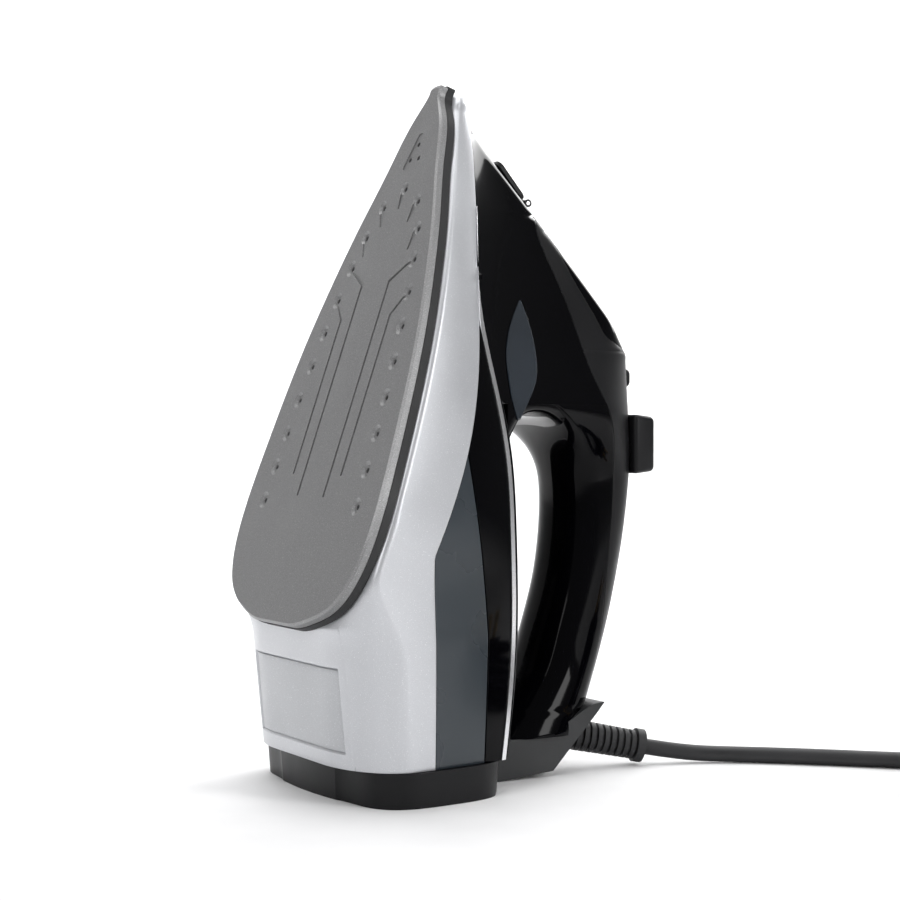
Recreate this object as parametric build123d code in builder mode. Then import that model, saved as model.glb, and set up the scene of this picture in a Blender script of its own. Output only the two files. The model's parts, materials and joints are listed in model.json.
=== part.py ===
"""Corded steam iron standing on its heel. Millimetres, +Z up, origin in the middle of the heel's flat face.

The soleplate faces -X and leans back, the handle is on the +X side. Most profiles are stations stacked up
the Z axis; what lies parallel to the soleplate is drawn in the leaning plane `sole`.
"""
from build123d import *
import os
from math import cos, pi, radians, sin, tan

os.makedirs("parts", exist_ok=True)

# Driving dimensions
LEAN = 18.8                    # soleplate's lean from upright, degrees
SOLE_X, SOLE_Z = -45, 69       # middle of the soleplate's lower edge
SOLE_LENGTH = 235
SOLE_THICK = 3.5
SHIELD_TOP = 7                 # heat shield's far side, measured from the soleplate's face
HEEL_SLOPE = 0.08               # the heel's front face comes forward upwards by this much X per Z
WALL = 2.4
BASE_HEIGHT = 14
FIT = 0.05                     # radial play of a running fit
GAP = 0.3                      # air between parts of different bodies
CORD_D = 7

COS, SIN, TAN = cos(radians(LEAN)), sin(radians(LEAN)), tan(radians(LEAN))
sole = Plane(origin=(SOLE_X, 0, SOLE_Z), x_dir=(SIN, 0, COS), z_dir=(COS, 0, -SIN))

# Half widths of the soleplate at distances from its lower edge
SOLE_HALF = [(0, 16), (3, 31), (12, 50.5), (25, 59), (42, 62.2), (71, 60.3), (102, 55.8),
             (126, 50.5), (151, 42.5), (175, 33), (199, 21.8), (222, 10.5), (232, 4.5)]
# Body stations: height, half width at the soleplate side, belt line's x, half width at the belt
BODY = [(14, 58.5, 36, 48), (45, 60.5, 39.5, 48), (75, 61.8, 40.8, 48), (105, 62.7, 40.5, 47.5),
        (135, 60.7, 39, 46.5), (165, 56.3, 33, 46), (194, 49, 28.2, 42.5), (220, 39.2, 31, 34),
        (245, 27.7, 35.6, 24.5), (265, 17.3, 39.8, 14.5), (281, 8.5, 43, 5.5)]
# Front arm stations: height, half width halfway out, half width on the nose's sloping line
ARM = [(157, 29, 15), (175, 28, 15), (194, 27, 15), (220, 22.5, 13), (245, 16.5, 10), (265, 10.5, 7),
       (276, 6.5, 4.5)]
NOSE_X, NOSE_Z, NOSE_RUN = 45.2, 272.8, 0.84   # the nose's sloping line: its top point and its X per Z
# Handle stations: height, inner x, outer x, half width
HANDLE = [(16, 46, 94, 24), (30, 58, 99.5, 21.5), (44, 69.5, 104.6, 19.5), (60, 76, 109.8, 19),
          (80, 82, 114.8, 19), (100, 85.3, 118.9, 19), (118, 86, 121.6, 19), (134, 83.5, 123.2, 19),
          (146, 76.5, 123.5, 18.6), (157, 62, 123.5, 17)]
CROWN = 6                      # the saddle's rise over the belt line


def front_x(z, rise=SHIELD_TOP):
    """X of a plane parallel to the soleplate, at a height; below the soleplate, the heel's own front."""
    if z < SOLE_Z:
        return SOLE_X + SHIELD_TOP / COS + (SOLE_Z - z) * HEEL_SLOPE
    return SOLE_X + (z - SOLE_Z) * TAN + rise / COS


def sole_outline(inset=0):
    """The soleplate's outline as a flat face: X along the soleplate from its lower edge, Y across."""
    side = [(v + inset * max(0, 1 - v / 30), w - inset) for v, w in SOLE_HALF if w > inset + 3]
    tip = SOLE_LENGTH - 1.9 * inset
    with BuildSketch() as outline:
        with BuildLine():
            upper = Spline(*side, (tip, 0), tangents=[(0.05, 1), (0, -1)])
            lower = Spline(*[(v, -w) for v, w in side], (tip, 0), tangents=[(0.05, -1), (0, 1)])
            Line(upper @ 0, lower @ 0)
        make_face()
    return outline.sketch


def body_section(z, front_half, belt_x, belt_half, inset=0):
    """One closed station of the body between the soleplate side and the belt line."""
    x0 = front_x(z) + inset
    corner = 9 if z < SOLE_Z else 2.5
    corner = max(corner - inset, 1)
    half, back = front_half - inset, belt_half - inset
    middle = ((x0 + corner + belt_x) / 2, half - 0.36 * (half - back))
    with BuildSketch(Plane.XY.offset(z)) as station:
        with BuildLine():
            front = Line((x0, -(half - corner)), (x0, half - corner))
            left = RadiusArc((x0, half - corner), (x0 + corner, half), corner)
            right = RadiusArc((x0, -(half - corner)), (x0 + corner, -half), -corner)
            Spline(left @ 1, middle, (belt_x, back))
            Spline(right @ 1, (middle[0], -middle[1]), (belt_x, -back))
            Line((belt_x, back), (belt_x, -back))
        make_face()
    return station.sketch


def body_block(inset=0, reach=0):
    """The body as a solid: the loft of its stations."""
    with BuildPart() as block:
        for z, front_half, belt_x, belt_half in BODY:
            add(body_section(z, front_half, belt_x + reach, belt_half, min(inset, 0.4 * belt_half)))
        loft()
    return block.part


def belt_at(z):
    """Belt line's x and half width at a height, between stations."""
    for low, high in zip(BODY, BODY[1:]):
        if z <= high[0]:
            part = (z - low[0]) / (high[0] - low[0])
            return low[2] + part * (high[2] - low[2]), low[3] + part * (high[3] - low[3])
    return BODY[-1][2], BODY[-1][3]


def prism(points, half=90, curved=()):
    """A side profile in the XZ plane, extruded both ways. Index pairs in curved are drawn as splines."""
    with BuildPart() as solid:
        with BuildSketch(Plane.XZ):
            with BuildLine():
                for start, end in zip([0, *[c[1] for c in curved]], [*[c[0] for c in curved], len(points) - 1]):
                    if end > start:
                        Polyline(*points[start:end + 1])
                for start, end in curved:
                    Spline(*points[start:end + 1])
                Line(points[-1], points[0])
            make_face()
        extrude(amount=half, both=True)
    return solid.part


def write(part, name):
    part.label = name
    export_step(part, f"parts/{name}.step")


def mirrored_pair(part):
    """A part and its twin on the other side of the iron."""
    with BuildPart() as pair:
        add(part)
        mirror(about=Plane.XZ)
    return pair.part


# ---- Soleplate: bevelled plate, steam holes in dimples, two pairs of steam channels -------------------------
HOLE_R, DIMPLE_R, DIMPLE_DEEP, BEVEL = 1.1, 3.7, 0.9, 0.9
HOLES = [(50.5, 44.2), (65.5, 43), (80.5, 42), (95.5, 40.4), (110.5, 38.1), (125.5, 35.5), (140.2, 32.3),
         (154.5, 28)]
NOSE_HOLES = [(168.2, 23.3), (181, 15.3), (188, 0)]
TIP_HOLES = [(201.5, 3.7), (201.5, -3.7), (208, 0)]
CHANNELS = [(154.5, 28, 146, 12.3, 53.4), (140.2, 32.3, 131, 22.6, 62.6)]
CHANNEL_WIDE, CHANNEL_DEEP, TAIL = 1.5, 0.8, 9
both_sides = [(v, side * y) for v, y in HOLES for side in (1, -1)]
nose_both = [(v, side * y) for v, y in NOSE_HOLES for side in ((1, -1) if y else (1,))]

with BuildPart() as soleplate:
    with BuildSketch(sole.offset(BEVEL)):
        add(sole_outline())
    extrude(amount=SOLE_THICK - BEVEL)
    with BuildSketch(sole):
        add(sole_outline(BEVEL))
    with BuildSketch(sole.offset(BEVEL)):
        add(sole_outline())
    loft()
    with BuildSketch(sole):
        with Locations(*both_sides):
            Circle(DIMPLE_R)
    extrude(amount=DIMPLE_DEEP, taper=55, mode=Mode.SUBTRACT)
    with BuildSketch(sole):
        with Locations(*nose_both):
            Circle(DIMPLE_R * 0.85)
    extrude(amount=DIMPLE_DEEP, taper=50, mode=Mode.SUBTRACT)
    for v, y in nose_both:
        tail_y = y * (1 - 0.35 * TAIL / abs(y)) if y else 0
        with BuildSketch(sole):
            with BuildLine():
                Polyline((v, y - 2.6), (v, y + 2.6), (v - TAIL, tail_y + 0.5), (v - TAIL, tail_y - 0.5), close=True)
            make_face()
        extrude(amount=DIMPLE_DEEP * 0.6, mode=Mode.SUBTRACT)
    with BuildSketch(sole):
        with BuildLine():
            nest = Polyline((197, -8), (197, 8), (213, 1.5), (213, -1.5), close=True)
        make_face()
        fillet(nest.vertices(), 1.4)
    extrude(amount=DIMPLE_DEEP * 0.5, mode=Mode.SUBTRACT)
    with BuildSketch(sole):
        for side in (1, -1):
            for hole_v, hole_y, bend_v, run_y, end_v in CHANNELS:
                with BuildLine():
                    route = Polyline((hole_v, side * hole_y), (bend_v, side * run_y), (end_v, side * run_y))
                trace(route, line_width=CHANNEL_WIDE)
    extrude(amount=CHANNEL_DEEP, mode=Mode.SUBTRACT)
    with BuildSketch(sole):
        with Locations(*both_sides, *nose_both, *TIP_HOLES):
            Circle(HOLE_R)
    extrude(amount=SOLE_THICK, mode=Mode.SUBTRACT)
write(soleplate.part, "soleplate")

# ---- Heat shield and heater, stacked behind the soleplate ----------------------------------------------------
with BuildPart() as heat_shield:
    with BuildSketch(sole.offset(SOLE_THICK)):
        add(sole_outline(-0.3))
        add(sole_outline(5), mode=Mode.SUBTRACT)
    extrude(amount=SHIELD_TOP - SOLE_THICK - 0.2)
write(heat_shield.part, "heat_shield")

CASTING_INSET, CASTING_TOP, CHAMBER_TOP = 10, 17, 18
ELEMENT_R, ELEMENT_Y, ELEMENT_LEVEL = 3.4, 34, 10.5
COVER_SCREWS = [(40, 18), (40, -18), (150, 14), (150, -14)]
with BuildPart() as heater_casting:
    with BuildSketch(sole.offset(SOLE_THICK)):
        add(sole_outline(CASTING_INSET))
    extrude(amount=CASTING_TOP - SOLE_THICK)
    with BuildSketch(sole.offset(SOLE_THICK + 4)):
        with BuildLine():
            chamber = Polyline((48, -26), (48, 26), (120, 20), (165, 6), (165, -6), (120, -20), close=True)
        make_face()
        fillet(chamber.vertices(), 4)
    extrude(amount=CASTING_TOP, mode=Mode.SUBTRACT)
    with BuildSketch(sole.offset(ELEMENT_LEVEL - ELEMENT_R - GAP)):
        with BuildLine():
            groove = Polyline((-5, ELEMENT_Y), (16, ELEMENT_Y), (110, ELEMENT_Y - 4), (175, 14), (175, -14), (110, 4 - ELEMENT_Y),
                              (16, -ELEMENT_Y), (-5, -ELEMENT_Y))
        trace(groove, line_width=2 * (ELEMENT_R + GAP))
    extrude(amount=CASTING_TOP, mode=Mode.SUBTRACT)
    with BuildSketch(sole.offset(CASTING_TOP)):
        with Locations((24, 0)):
            Circle(2)
    extrude(amount=-8, mode=Mode.SUBTRACT)
    with BuildSketch(sole.offset(SOLE_THICK)):
        with Locations((215, 0)):
            Rectangle(40, 60)
    extrude(amount=CASTING_TOP, mode=Mode.SUBTRACT)
    add(heat_shield.part, mode=Mode.SUBTRACT)
write(heater_casting.part, "heater_casting")

with BuildPart() as heating_element:
    with BuildSketch(sole.offset(ELEMENT_LEVEL - ELEMENT_R)):
        with BuildLine():
            tube = Polyline((16, ELEMENT_Y), (110, ELEMENT_Y - 4), (175, 14), (175, -14), (110, 4 - ELEMENT_Y),
                            (16, -ELEMENT_Y))
        trace(tube, line_width=2 * ELEMENT_R)
    extrude(amount=2 * ELEMENT_R)
write(heating_element.part, "heating_element")

with BuildPart() as chamber_gasket:
    with BuildSketch(sole.offset(CASTING_TOP)):
        with BuildLine():
            ring = Polyline((44, -29.5), (44, 29.5), (121, 23), (169, 9), (169, -9), (121, -23), close=True)
        make_face()
        with BuildLine(mode=Mode.PRIVATE) as inner_ring:
            Polyline((49, -26), (49, 26), (120, 20), (164, 6), (164, -6), (120, -20), close=True)
        add(make_face(inner_ring.edges(), mode=Mode.PRIVATE), mode=Mode.SUBTRACT)
    extrude(amount=CHAMBER_TOP - CASTING_TOP)
write(chamber_gasket.part, "chamber_gasket")

COVER_TOP, DRIP_V = CHAMBER_TOP + 1.5, 112
with BuildPart() as chamber_cover:
    with BuildSketch(sole.offset(CHAMBER_TOP)):
        with BuildLine():
            Polyline((44, -29.5), (44, 29.5), (121, 23), (169, 9), (169, -9), (121, -23), close=True)
        make_face()
        with Locations((DRIP_V, 0)):
            Circle(3 + GAP, mode=Mode.SUBTRACT)
    extrude(amount=COVER_TOP - CHAMBER_TOP)
write(chamber_cover.part, "chamber_cover")

with BuildPart() as cover_screws:
    with BuildSketch(sole.offset(COVER_TOP)):
        with Locations(*COVER_SCREWS):
            Circle(3.2)
    extrude(amount=2.2)
    with BuildSketch(sole.offset(COVER_TOP + 2.2)):
        with Locations(*COVER_SCREWS):
            Rectangle(4.4, 0.8)
            Rectangle(0.8, 4.4)
    extrude(amount=-1.2, mode=Mode.SUBTRACT)
write(cover_screws.part, "cover_screws")

with BuildPart() as drip_valve:
    with BuildSketch(sole.offset(COVER_TOP - 1)):
        with Locations((DRIP_V, 0)):
            Circle(3)
    extrude(amount=9)
    with BuildSketch(sole.offset(COVER_TOP + 8)):
        with Locations((DRIP_V, 0)):
            Circle(6)
    extrude(amount=5)
write(drip_valve.part, "drip_valve")

# ---- Body shells: one lofted wall, cut into its panels by side profiles -------------------------------------
CORNER_X, CORNER_Z = -2, 97            # where the side panel's lower edge turns upright
TRIM_WIDE, TRIM_PROUD = 1.5, 0.35
far = -120
panel_front = [(-0.5, 8), (CORNER_X, CORNER_Z), (15.2, 137), (20.5, 156), (25, 181), (28, 203), (31.8, 224),
               (36.3, 247), (41.5, 271), (46, 291)]
band_front = [(24.5, 8), (25.5, 65), (23.8, 86), (20.3, 110), (15.2, 137)]
belt_front = [(x - TRIM_WIDE, z) for z, _, x, _ in BODY]
belt_front = [(belt_front[0][0], 8), *belt_front, (belt_front[-1][0] + 1, 292)]

with BuildPart() as body_wall:
    add(body_block())
    add(body_block(WALL, 0.5), mode=Mode.SUBTRACT)
    with BuildSketch(sole):
        add(sole_outline(9))
    extrude(amount=16, mode=Mode.SUBTRACT)

front_region = prism([*panel_front, (far, 291), (far, 8)], curved=[(1, 9)])
band_region = prism([*panel_front, (90, 291), (90, 8)], curved=[(1, 9)])
rear_of_band = prism([*band_front, (90, 137), (90, 8)], curved=[(1, 4)])
trim_region = prism([*belt_front, (90, 292), (90, 8)], curved=[(1, len(belt_front) - 2)])
panel_top = prism([(-60, 8), (-60, 137), (60, 137), (60, 8)])

LABEL_Y, LABEL_LOW, LABEL_HIGH, LABEL_DEEP = 40, 20, 54, 1.2
label_z = (LABEL_LOW + LABEL_HIGH) / 2
label_face = Plane(origin=(front_x(label_z), 0, label_z), x_dir=(0, -1, 0), z_dir=(-1, 0, -HEEL_SLOPE))
with BuildPart() as lower_shroud:
    add(body_wall.part)
    add(front_region, mode=Mode.INTERSECT)
    add(heat_shield.part, mode=Mode.SUBTRACT)
    with BuildSketch(label_face):
        RectangleRounded(2 * LABEL_Y, LABEL_HIGH - LABEL_LOW, 2)
    extrude(amount=-LABEL_DEEP, mode=Mode.SUBTRACT)
write(lower_shroud.part, "lower_shroud")

with BuildPart() as side_panels:
    add(body_wall.part)
    add(band_region, mode=Mode.INTERSECT)
    add(panel_top, mode=Mode.INTERSECT)
    add(rear_of_band, mode=Mode.SUBTRACT)
for panel, name in zip(side_panels.solids().sort_by(Axis.Y), ("left_side_panel", "right_side_panel")):
    write(Part(panel.wrapped), name)

with BuildPart() as tank_band:
    add(body_wall.part)
    add(band_region, mode=Mode.INTERSECT)
    add(side_panels.part, mode=Mode.SUBTRACT)
    add(trim_region, mode=Mode.SUBTRACT)
write(tank_band.part, "tank_band")


with BuildPart() as label_plate:
    with BuildSketch(label_face.offset(-LABEL_DEEP)):
        RectangleRounded(2 * LABEL_Y - 6, LABEL_HIGH - LABEL_LOW - 5, 2)
    extrude(amount=0.5)
write(label_plate.part, "label_plate")

# ---- Upper shell: saddle under the hand and the front arm that rises to the nose of the handle --------------
NECK_Z = 157                           # underside of the front arm


def saddle_block(inset=0):
    """Crowned cap on the belt line, below the front arm."""
    with BuildPart() as block:
        for z, _, belt_x, belt_half in BODY[:5] + [(NECK_Z, 0, *belt_at(NECK_Z))]:
            with BuildSketch(Plane.XY.offset(z)):
                with BuildLine():
                    half = belt_half - inset
                    foot_x = belt_x - (1 if inset else 0)
                    ThreePointArc((foot_x, -half), (belt_x + CROWN - inset, 0), (foot_x, half))
                    Line((foot_x, half), (foot_x, -half))
                make_face()
        loft()
    return block.part


def arm_block(inset=0):
    """The front arm from its underside to the nose, out to the nose's sloping line."""
    with BuildPart() as block:
        for z, middle, outer in ARM:
            belt_x, belt_half = belt_at(z)
            out_x = NOSE_X + (NOSE_Z - z) * NOSE_RUN - inset
            cut = min(inset, 0.35 * outer)
            with BuildSketch(Plane.XY.offset(z + (inset if z == NECK_Z else 0))):
                with BuildLine():
                    near, half, top = belt_half - cut, middle - cut, outer - cut
                    side = Spline((belt_x, near), ((belt_x * 0.55 + out_x * 0.45), half), (out_x, top))
                    twin = Spline((belt_x, -near), ((belt_x * 0.55 + out_x * 0.45), -half), (out_x, -top))
                    Line(side @ 1, twin @ 1)
                    Line(side @ 0, twin @ 0)
                make_face()
        loft()
    return block.part


DECK_X = 123.5
ARM_PROFILE = [(0, 140), (DECK_X, 140), (DECK_X, 182), (118.5, 189), (104, 202.8), (NOSE_X, NOSE_Z), (40, 300),
               (0, 300)]
ARM_INSIDE = [(0, 140), (DECK_X - WALL, 140), (DECK_X - WALL, 181), (116.5, 187.5), (102.5, 200.5),
              (NOSE_X - 2, NOSE_Z - 2), (40, 300), (0, 300)]
with BuildPart() as arm_inside:
    add(arm_block(WALL))
    add(prism(ARM_INSIDE), mode=Mode.INTERSECT)
with BuildPart() as arm_wall:
    add(arm_block())
    add(prism(ARM_PROFILE), mode=Mode.INTERSECT)
    add(arm_inside.part, mode=Mode.SUBTRACT)

with BuildPart() as chrome_trim:
    add(body_block(-TRIM_PROUD))
    add(body_block(WALL, 0.5), mode=Mode.SUBTRACT)
    add(trim_region, mode=Mode.INTERSECT)
    add(band_region, mode=Mode.INTERSECT)
    for piece in (saddle_block(), arm_block(), lower_shroud.part, tank_band.part):
        add(piece, mode=Mode.SUBTRACT)
write(chrome_trim.part, "chrome_trim")

cap_region = prism([(80, 232), (88, 213), (95.5, 201), (102, 190.5), (106, 186), (110.5, 184), (130, 178),
                    (130, 240), (95, 240)], curved=[(0, 5)])
grip_front = [(96, 27), (101, 50), (103.5, 80), (106, 105), (107, 127), (105, 150), (98, 175),
              (88, 195), (74, 215), (60, 232)]
grip_region = prism([*grip_front, (140, 232), (140, 27)], curved=[(0, 9)])

DIAL_Z, DIAL_R, DIAL_BORE = 115.5, 17.5, 4.2
LENS_Z, LENS_WIDE, LENS_LONG = 141, 14, 12
with BuildPart() as saddle:
    add(saddle_block())
    add(saddle_block(WALL), mode=Mode.SUBTRACT)
    with BuildSketch(Plane.YZ.offset(30)):
        with Locations((0, DIAL_Z)):
            Circle(DIAL_BORE)
        with Locations((0, LENS_Z)):
            Rectangle(LENS_WIDE, LENS_LONG)
    extrude(amount=30, mode=Mode.SUBTRACT)
write(saddle.part, "saddle")


def handle_block(inset=0):
    """The handle's loft of flattened ovals."""
    with BuildPart() as block:
        for z, inner, outer, half in HANDLE:
            centre, deep, wide = (inner + outer) / 2, (outer - inner) / 2 - inset, half - inset
            oval = []
            for step in range(12):
                turn = 2 * pi * step / 12
                c, s = cos(turn), sin(turn)
                oval.append((centre + deep * abs(c) ** 0.8 * (1 if c > 0 else -1),
                             wide * abs(s) ** 0.8 * (1 if s > 0 else -1)))
            with BuildSketch(Plane.XY.offset(z)):
                with BuildLine():
                    Spline(*oval, periodic=True)
                make_face()
        loft()
    return block.part


FOOT_TOP = [(36, 17), (57, 17), (67.5, 17.8), (76, 20), (84, 23.5), (92, 28), (101, 30)]
foot_region = prism([(36, -1), *FOOT_TOP, (140, 30), (140, -1)], curved=[(2, 7)])
with BuildPart() as handle_wall:
    add(handle_block())
    add(handle_block(WALL), mode=Mode.SUBTRACT)
    add(foot_region, mode=Mode.SUBTRACT)
    add(saddle_block(), mode=Mode.SUBTRACT)

with BuildPart() as front_cap:
    add(arm_wall.part)
    add(cap_region, mode=Mode.INTERSECT)
    with BuildSketch(Plane.XY.offset(180.5)):
        with Locations((DECK_X + 0.6, 0)):
            Rectangle(2.4, 28)
    extrude(amount=2.5)
write(front_cap.part, "front_cap")

BUTTON_Z, BUTTON_Y, BUTTON_LONG, BUTTON_WIDE, BUTTON_PROUD, TRAVEL = 139, 9.6, 24, 17, 11, 3.5
SLIDER_Z, SLIDER_TRAVEL = 169.5, 7
STEM_R = 2.5
with BuildPart() as grip_wall:
    add(arm_wall.part)
    add(handle_wall.part)
    add(front_cap.part, mode=Mode.SUBTRACT)
    with BuildSketch(Plane.YZ.offset(110)):
        with Locations((BUTTON_Y, BUTTON_Z), (-BUTTON_Y, BUTTON_Z)):
            Circle(STEM_R + 2)
        with Locations((0, SLIDER_Z - SLIDER_TRAVEL / 2)):
            SlotOverall(SLIDER_TRAVEL + 6, 4, rotation=90)
    extrude(amount=20, mode=Mode.SUBTRACT)

with BuildPart() as handle_grip:
    add(grip_wall.part)
    add(grip_region, mode=Mode.INTERSECT)
write(handle_grip.part, "handle_grip")

NOZZLE_R, NOZZLE_DOWN = 2.6, 9
nose_out = (0.766, 0, 0.643)           # outward normal of the nose's slope
nozzle_face = Plane(origin=(NOSE_X + NOZZLE_DOWN * NOSE_RUN, 0, NOSE_Z - NOZZLE_DOWN), z_dir=nose_out)
with BuildPart() as window_region:
    with BuildSketch(Plane.XZ):
        with BuildLine():
            Spline((50, 161.5), (45, 170), (46.5, 184), (55, 199))
            Spline((50, 161.5), (59, 166), (62, 178), (55, 199))
        make_face()
    extrude(amount=90, both=True)

with BuildPart() as handle_shell:
    add(grip_wall.part)
    add(handle_grip.part, mode=Mode.SUBTRACT)
    add(window_region.part, mode=Mode.SUBTRACT)
    add(body_block(-0.02), mode=Mode.SUBTRACT)
    with BuildSketch(nozzle_face.offset(-5)):
        Circle(NOZZLE_R)
    extrude(amount=10, mode=Mode.SUBTRACT)
write(Part(handle_shell.solids().sort_by(SortBy.VOLUME)[-1].wrapped), "handle_shell")

with BuildPart() as windows:
    add(grip_wall.part)
    add(handle_grip.part, mode=Mode.SUBTRACT)
    add(window_region.part, mode=Mode.INTERSECT)
for pane, name in zip(windows.solids().sort_by(Axis.Y), ("left_window", "right_window")):
    write(Part(pane.wrapped), name)

# ---- What sits in the upper shell and the handle -------------------------------------------------------------
with BuildPart() as spray_nozzle:
    with BuildSketch(nozzle_face.offset(-4)):
        Circle(NOZZLE_R)
        Circle(0.6, mode=Mode.SUBTRACT)
    extrude(amount=5)
write(spray_nozzle.part, "spray_nozzle")

DOOR_LONG, DOOR_WIDE, DOOR_THICK, DOOR_DOWN = 20, 13, 1.8, 21
PIN_R, PIN_LONG, KNUCKLE_R = 0.8, 12, 1.7
door_face = Plane(origin=(NOSE_X + DOOR_DOWN * NOSE_RUN, 0, NOSE_Z - DOOR_DOWN), x_dir=(0.643, 0, -0.766),
                  z_dir=nose_out)
hinge = door_face.from_local_coords((DOOR_LONG / 2 + 2.4, 0, KNUCKLE_R + 0.2))
hinge_xz = (hinge.X, hinge.Z)
with BuildPart() as filler_door:
    with BuildSketch(door_face.offset(GAP)):
        RectangleRounded(DOOR_LONG, DOOR_WIDE, 3)
        with Locations((DOOR_LONG / 2 + 0.6, 0)):
            Rectangle(4, 7)
    extrude(amount=DOOR_THICK)
    with BuildSketch(Plane.XZ):
        with Locations(hinge_xz):
            Circle(KNUCKLE_R)
    extrude(amount=3.7, both=True)
    with BuildSketch(Plane.XZ):
        with Locations(hinge_xz):
            Circle(PIN_R + FIT)
    extrude(amount=4, both=True, mode=Mode.SUBTRACT)
write(filler_door.part, "filler_door")

with BuildPart() as filler_pin:
    with BuildSketch(Plane.XZ):
        with Locations(hinge_xz):
            Circle(PIN_R)
    extrude(amount=PIN_LONG / 2, both=True)
write(filler_pin.part, "filler_pin")

with BuildPart() as filler_lugs:
    for side in (1, -1):
        with BuildSketch(Plane.XZ.offset(side * 4)):
            with Locations(hinge_xz):
                Circle(KNUCKLE_R)
        extrude(amount=side * 2)
    add(filler_pin.part, mode=Mode.SUBTRACT)
    add(handle_shell.part, mode=Mode.SUBTRACT)
write(filler_lugs.part, "filler_lugs")

with BuildPart() as filler_seal:
    with BuildSketch(door_face.offset(-WALL - 4.5)):
        RectangleRounded(DOOR_LONG - 8, DOOR_WIDE - 6, 2)
        RectangleRounded(DOOR_LONG - 11, DOOR_WIDE - 9, 1, mode=Mode.SUBTRACT)
    extrude(amount=1.5)
write(filler_seal.part, "filler_seal")


def push_button(side):
    """Rounded key on a round stem, on the outside of the deck."""
    with BuildPart() as key:
        with BuildSketch(Plane.YZ.offset(DECK_X + TRAVEL + 0.3)):
            with Locations((side * BUTTON_Y, BUTTON_Z)):
                RectangleRounded(BUTTON_WIDE, BUTTON_LONG, 3)
        extrude(amount=BUTTON_PROUD - TRAVEL)
        outer = key.faces().sort_by(Axis.X)[-1]
        chamfer(outer.edges(), 1.2)
        with BuildSketch(Plane.YZ.offset(PISTON_X)):
            with Locations((side * BUTTON_Y, BUTTON_Z)):
                Circle(STEM_R)
        extrude(amount=DECK_X + TRAVEL + 1 - PISTON_X)
    return key.part


PISTON_X, PUMP_X, PUMP_LONG, PUMP_R, BORE_R, PISTON_LONG = 109, 93, 19, 5.3, 4.2, 5
for side, name in ((1, "steam"), (-1, "spray")):
    write(push_button(side), f"{name}_button")
    with BuildPart() as piston:
        with BuildSketch(Plane.YZ.offset(PISTON_X - PISTON_LONG)):
            with Locations((side * BUTTON_Y, BUTTON_Z)):
                Circle(BORE_R - FIT)
        extrude(amount=PISTON_LONG)
    write(piston.part, f"{name}_piston")
    with BuildPart() as pump:
        with BuildSketch(Plane.YZ.offset(PUMP_X)):
            with Locations((side * BUTTON_Y, BUTTON_Z)):
                Circle(PUMP_R)
        extrude(amount=PUMP_LONG)
        with BuildSketch(Plane.YZ.offset(PUMP_X + 2)):
            with Locations((side * BUTTON_Y, BUTTON_Z)):
                Circle(BORE_R)
        extrude(amount=PUMP_LONG, mode=Mode.SUBTRACT)
        with BuildSketch(Plane.YZ.offset(PUMP_X)):
            with Locations((side * BUTTON_Y, BUTTON_Z)):
                Circle(1)
        extrude(amount=3, mode=Mode.SUBTRACT)
        if side > 0:
            add(pump.part)
    write(pump.part, f"{name}_pump")
    with BuildPart() as spring:
        for coil in range(3):
            with BuildSketch(Plane.YZ.offset(PUMP_X + 2.2 + 1.9 * coil)):
                with Locations((side * BUTTON_Y, BUTTON_Z)):
                    Circle(3.6)
                    Circle(2.9, mode=Mode.SUBTRACT)
            extrude(amount=0.7)
        for turn in (0, 180):
            with BuildSketch(Plane.YZ.offset(PUMP_X + 2.9)):
                with Locations((side * BUTTON_Y, BUTTON_Z)):
                    with Locations(Location((0, 0, 0), (0, 0, turn))):
                        with Locations((3.25, 0)):
                            Rectangle(0.6, 0.6)
            extrude(amount=3.1)
    write(spring.part, f"{name}_spring")

with BuildPart() as steam_slider:
    with BuildSketch(Plane.YZ.offset(DECK_X + GAP)):
        with Locations((0, SLIDER_Z)):
            RectangleRounded(9, 8, 2.5)
    extrude(amount=2.6)
    fillet(steam_slider.faces().sort_by(Axis.X)[-1].edges(), 1.8)
    with BuildSketch(Plane.YZ.offset(DECK_X - WALL - 3)):
        with Locations((0, SLIDER_Z)):
            Circle(1.7)
    extrude(amount=WALL + 4)
    with BuildSketch(Plane.YZ.offset(DECK_X - WALL - 4)):
        with Locations((0, SLIDER_Z)):
            Circle(2.4)
    extrude(amount=2.5)
write(steam_slider.part, "steam_slider")

# ---- Temperature control, lamp and electronics ---------------------------------------------------------------
DIAL_X, DIAL_TOP, SHAFT_R, THERMOSTAT_X = 47.6, 58, 3, -3.5
with BuildPart() as temperature_dial:
    with BuildSketch(Plane.YZ.offset(DIAL_X)):
        with Locations((0, DIAL_Z)):
            Circle(DIAL_R)
            with PolarLocations(DIAL_R + 0.6, 24):
                Circle(1.3, mode=Mode.SUBTRACT)
    extrude(amount=DIAL_TOP - DIAL_X)
    with BuildSketch(Plane.YZ.offset(DIAL_TOP)):
        with Locations((0, DIAL_Z)):
            Circle(DIAL_R - 3)
    extrude(amount=1.4)
    with BuildSketch(Plane.YZ.offset(DIAL_X)):
        with Locations((0, DIAL_Z)):
            Circle(SHAFT_R)
    extrude(amount=6, mode=Mode.SUBTRACT)
write(temperature_dial.part, "temperature_dial")

with BuildPart() as thermostat_shaft:
    with BuildSketch(Plane.YZ.offset(THERMOSTAT_X + 12)):
        with Locations((0, DIAL_Z)):
            Circle(SHAFT_R)
    extrude(amount=DIAL_X + 6 - THERMOSTAT_X - 12)
write(thermostat_shaft.part, "thermostat_shaft")

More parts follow.
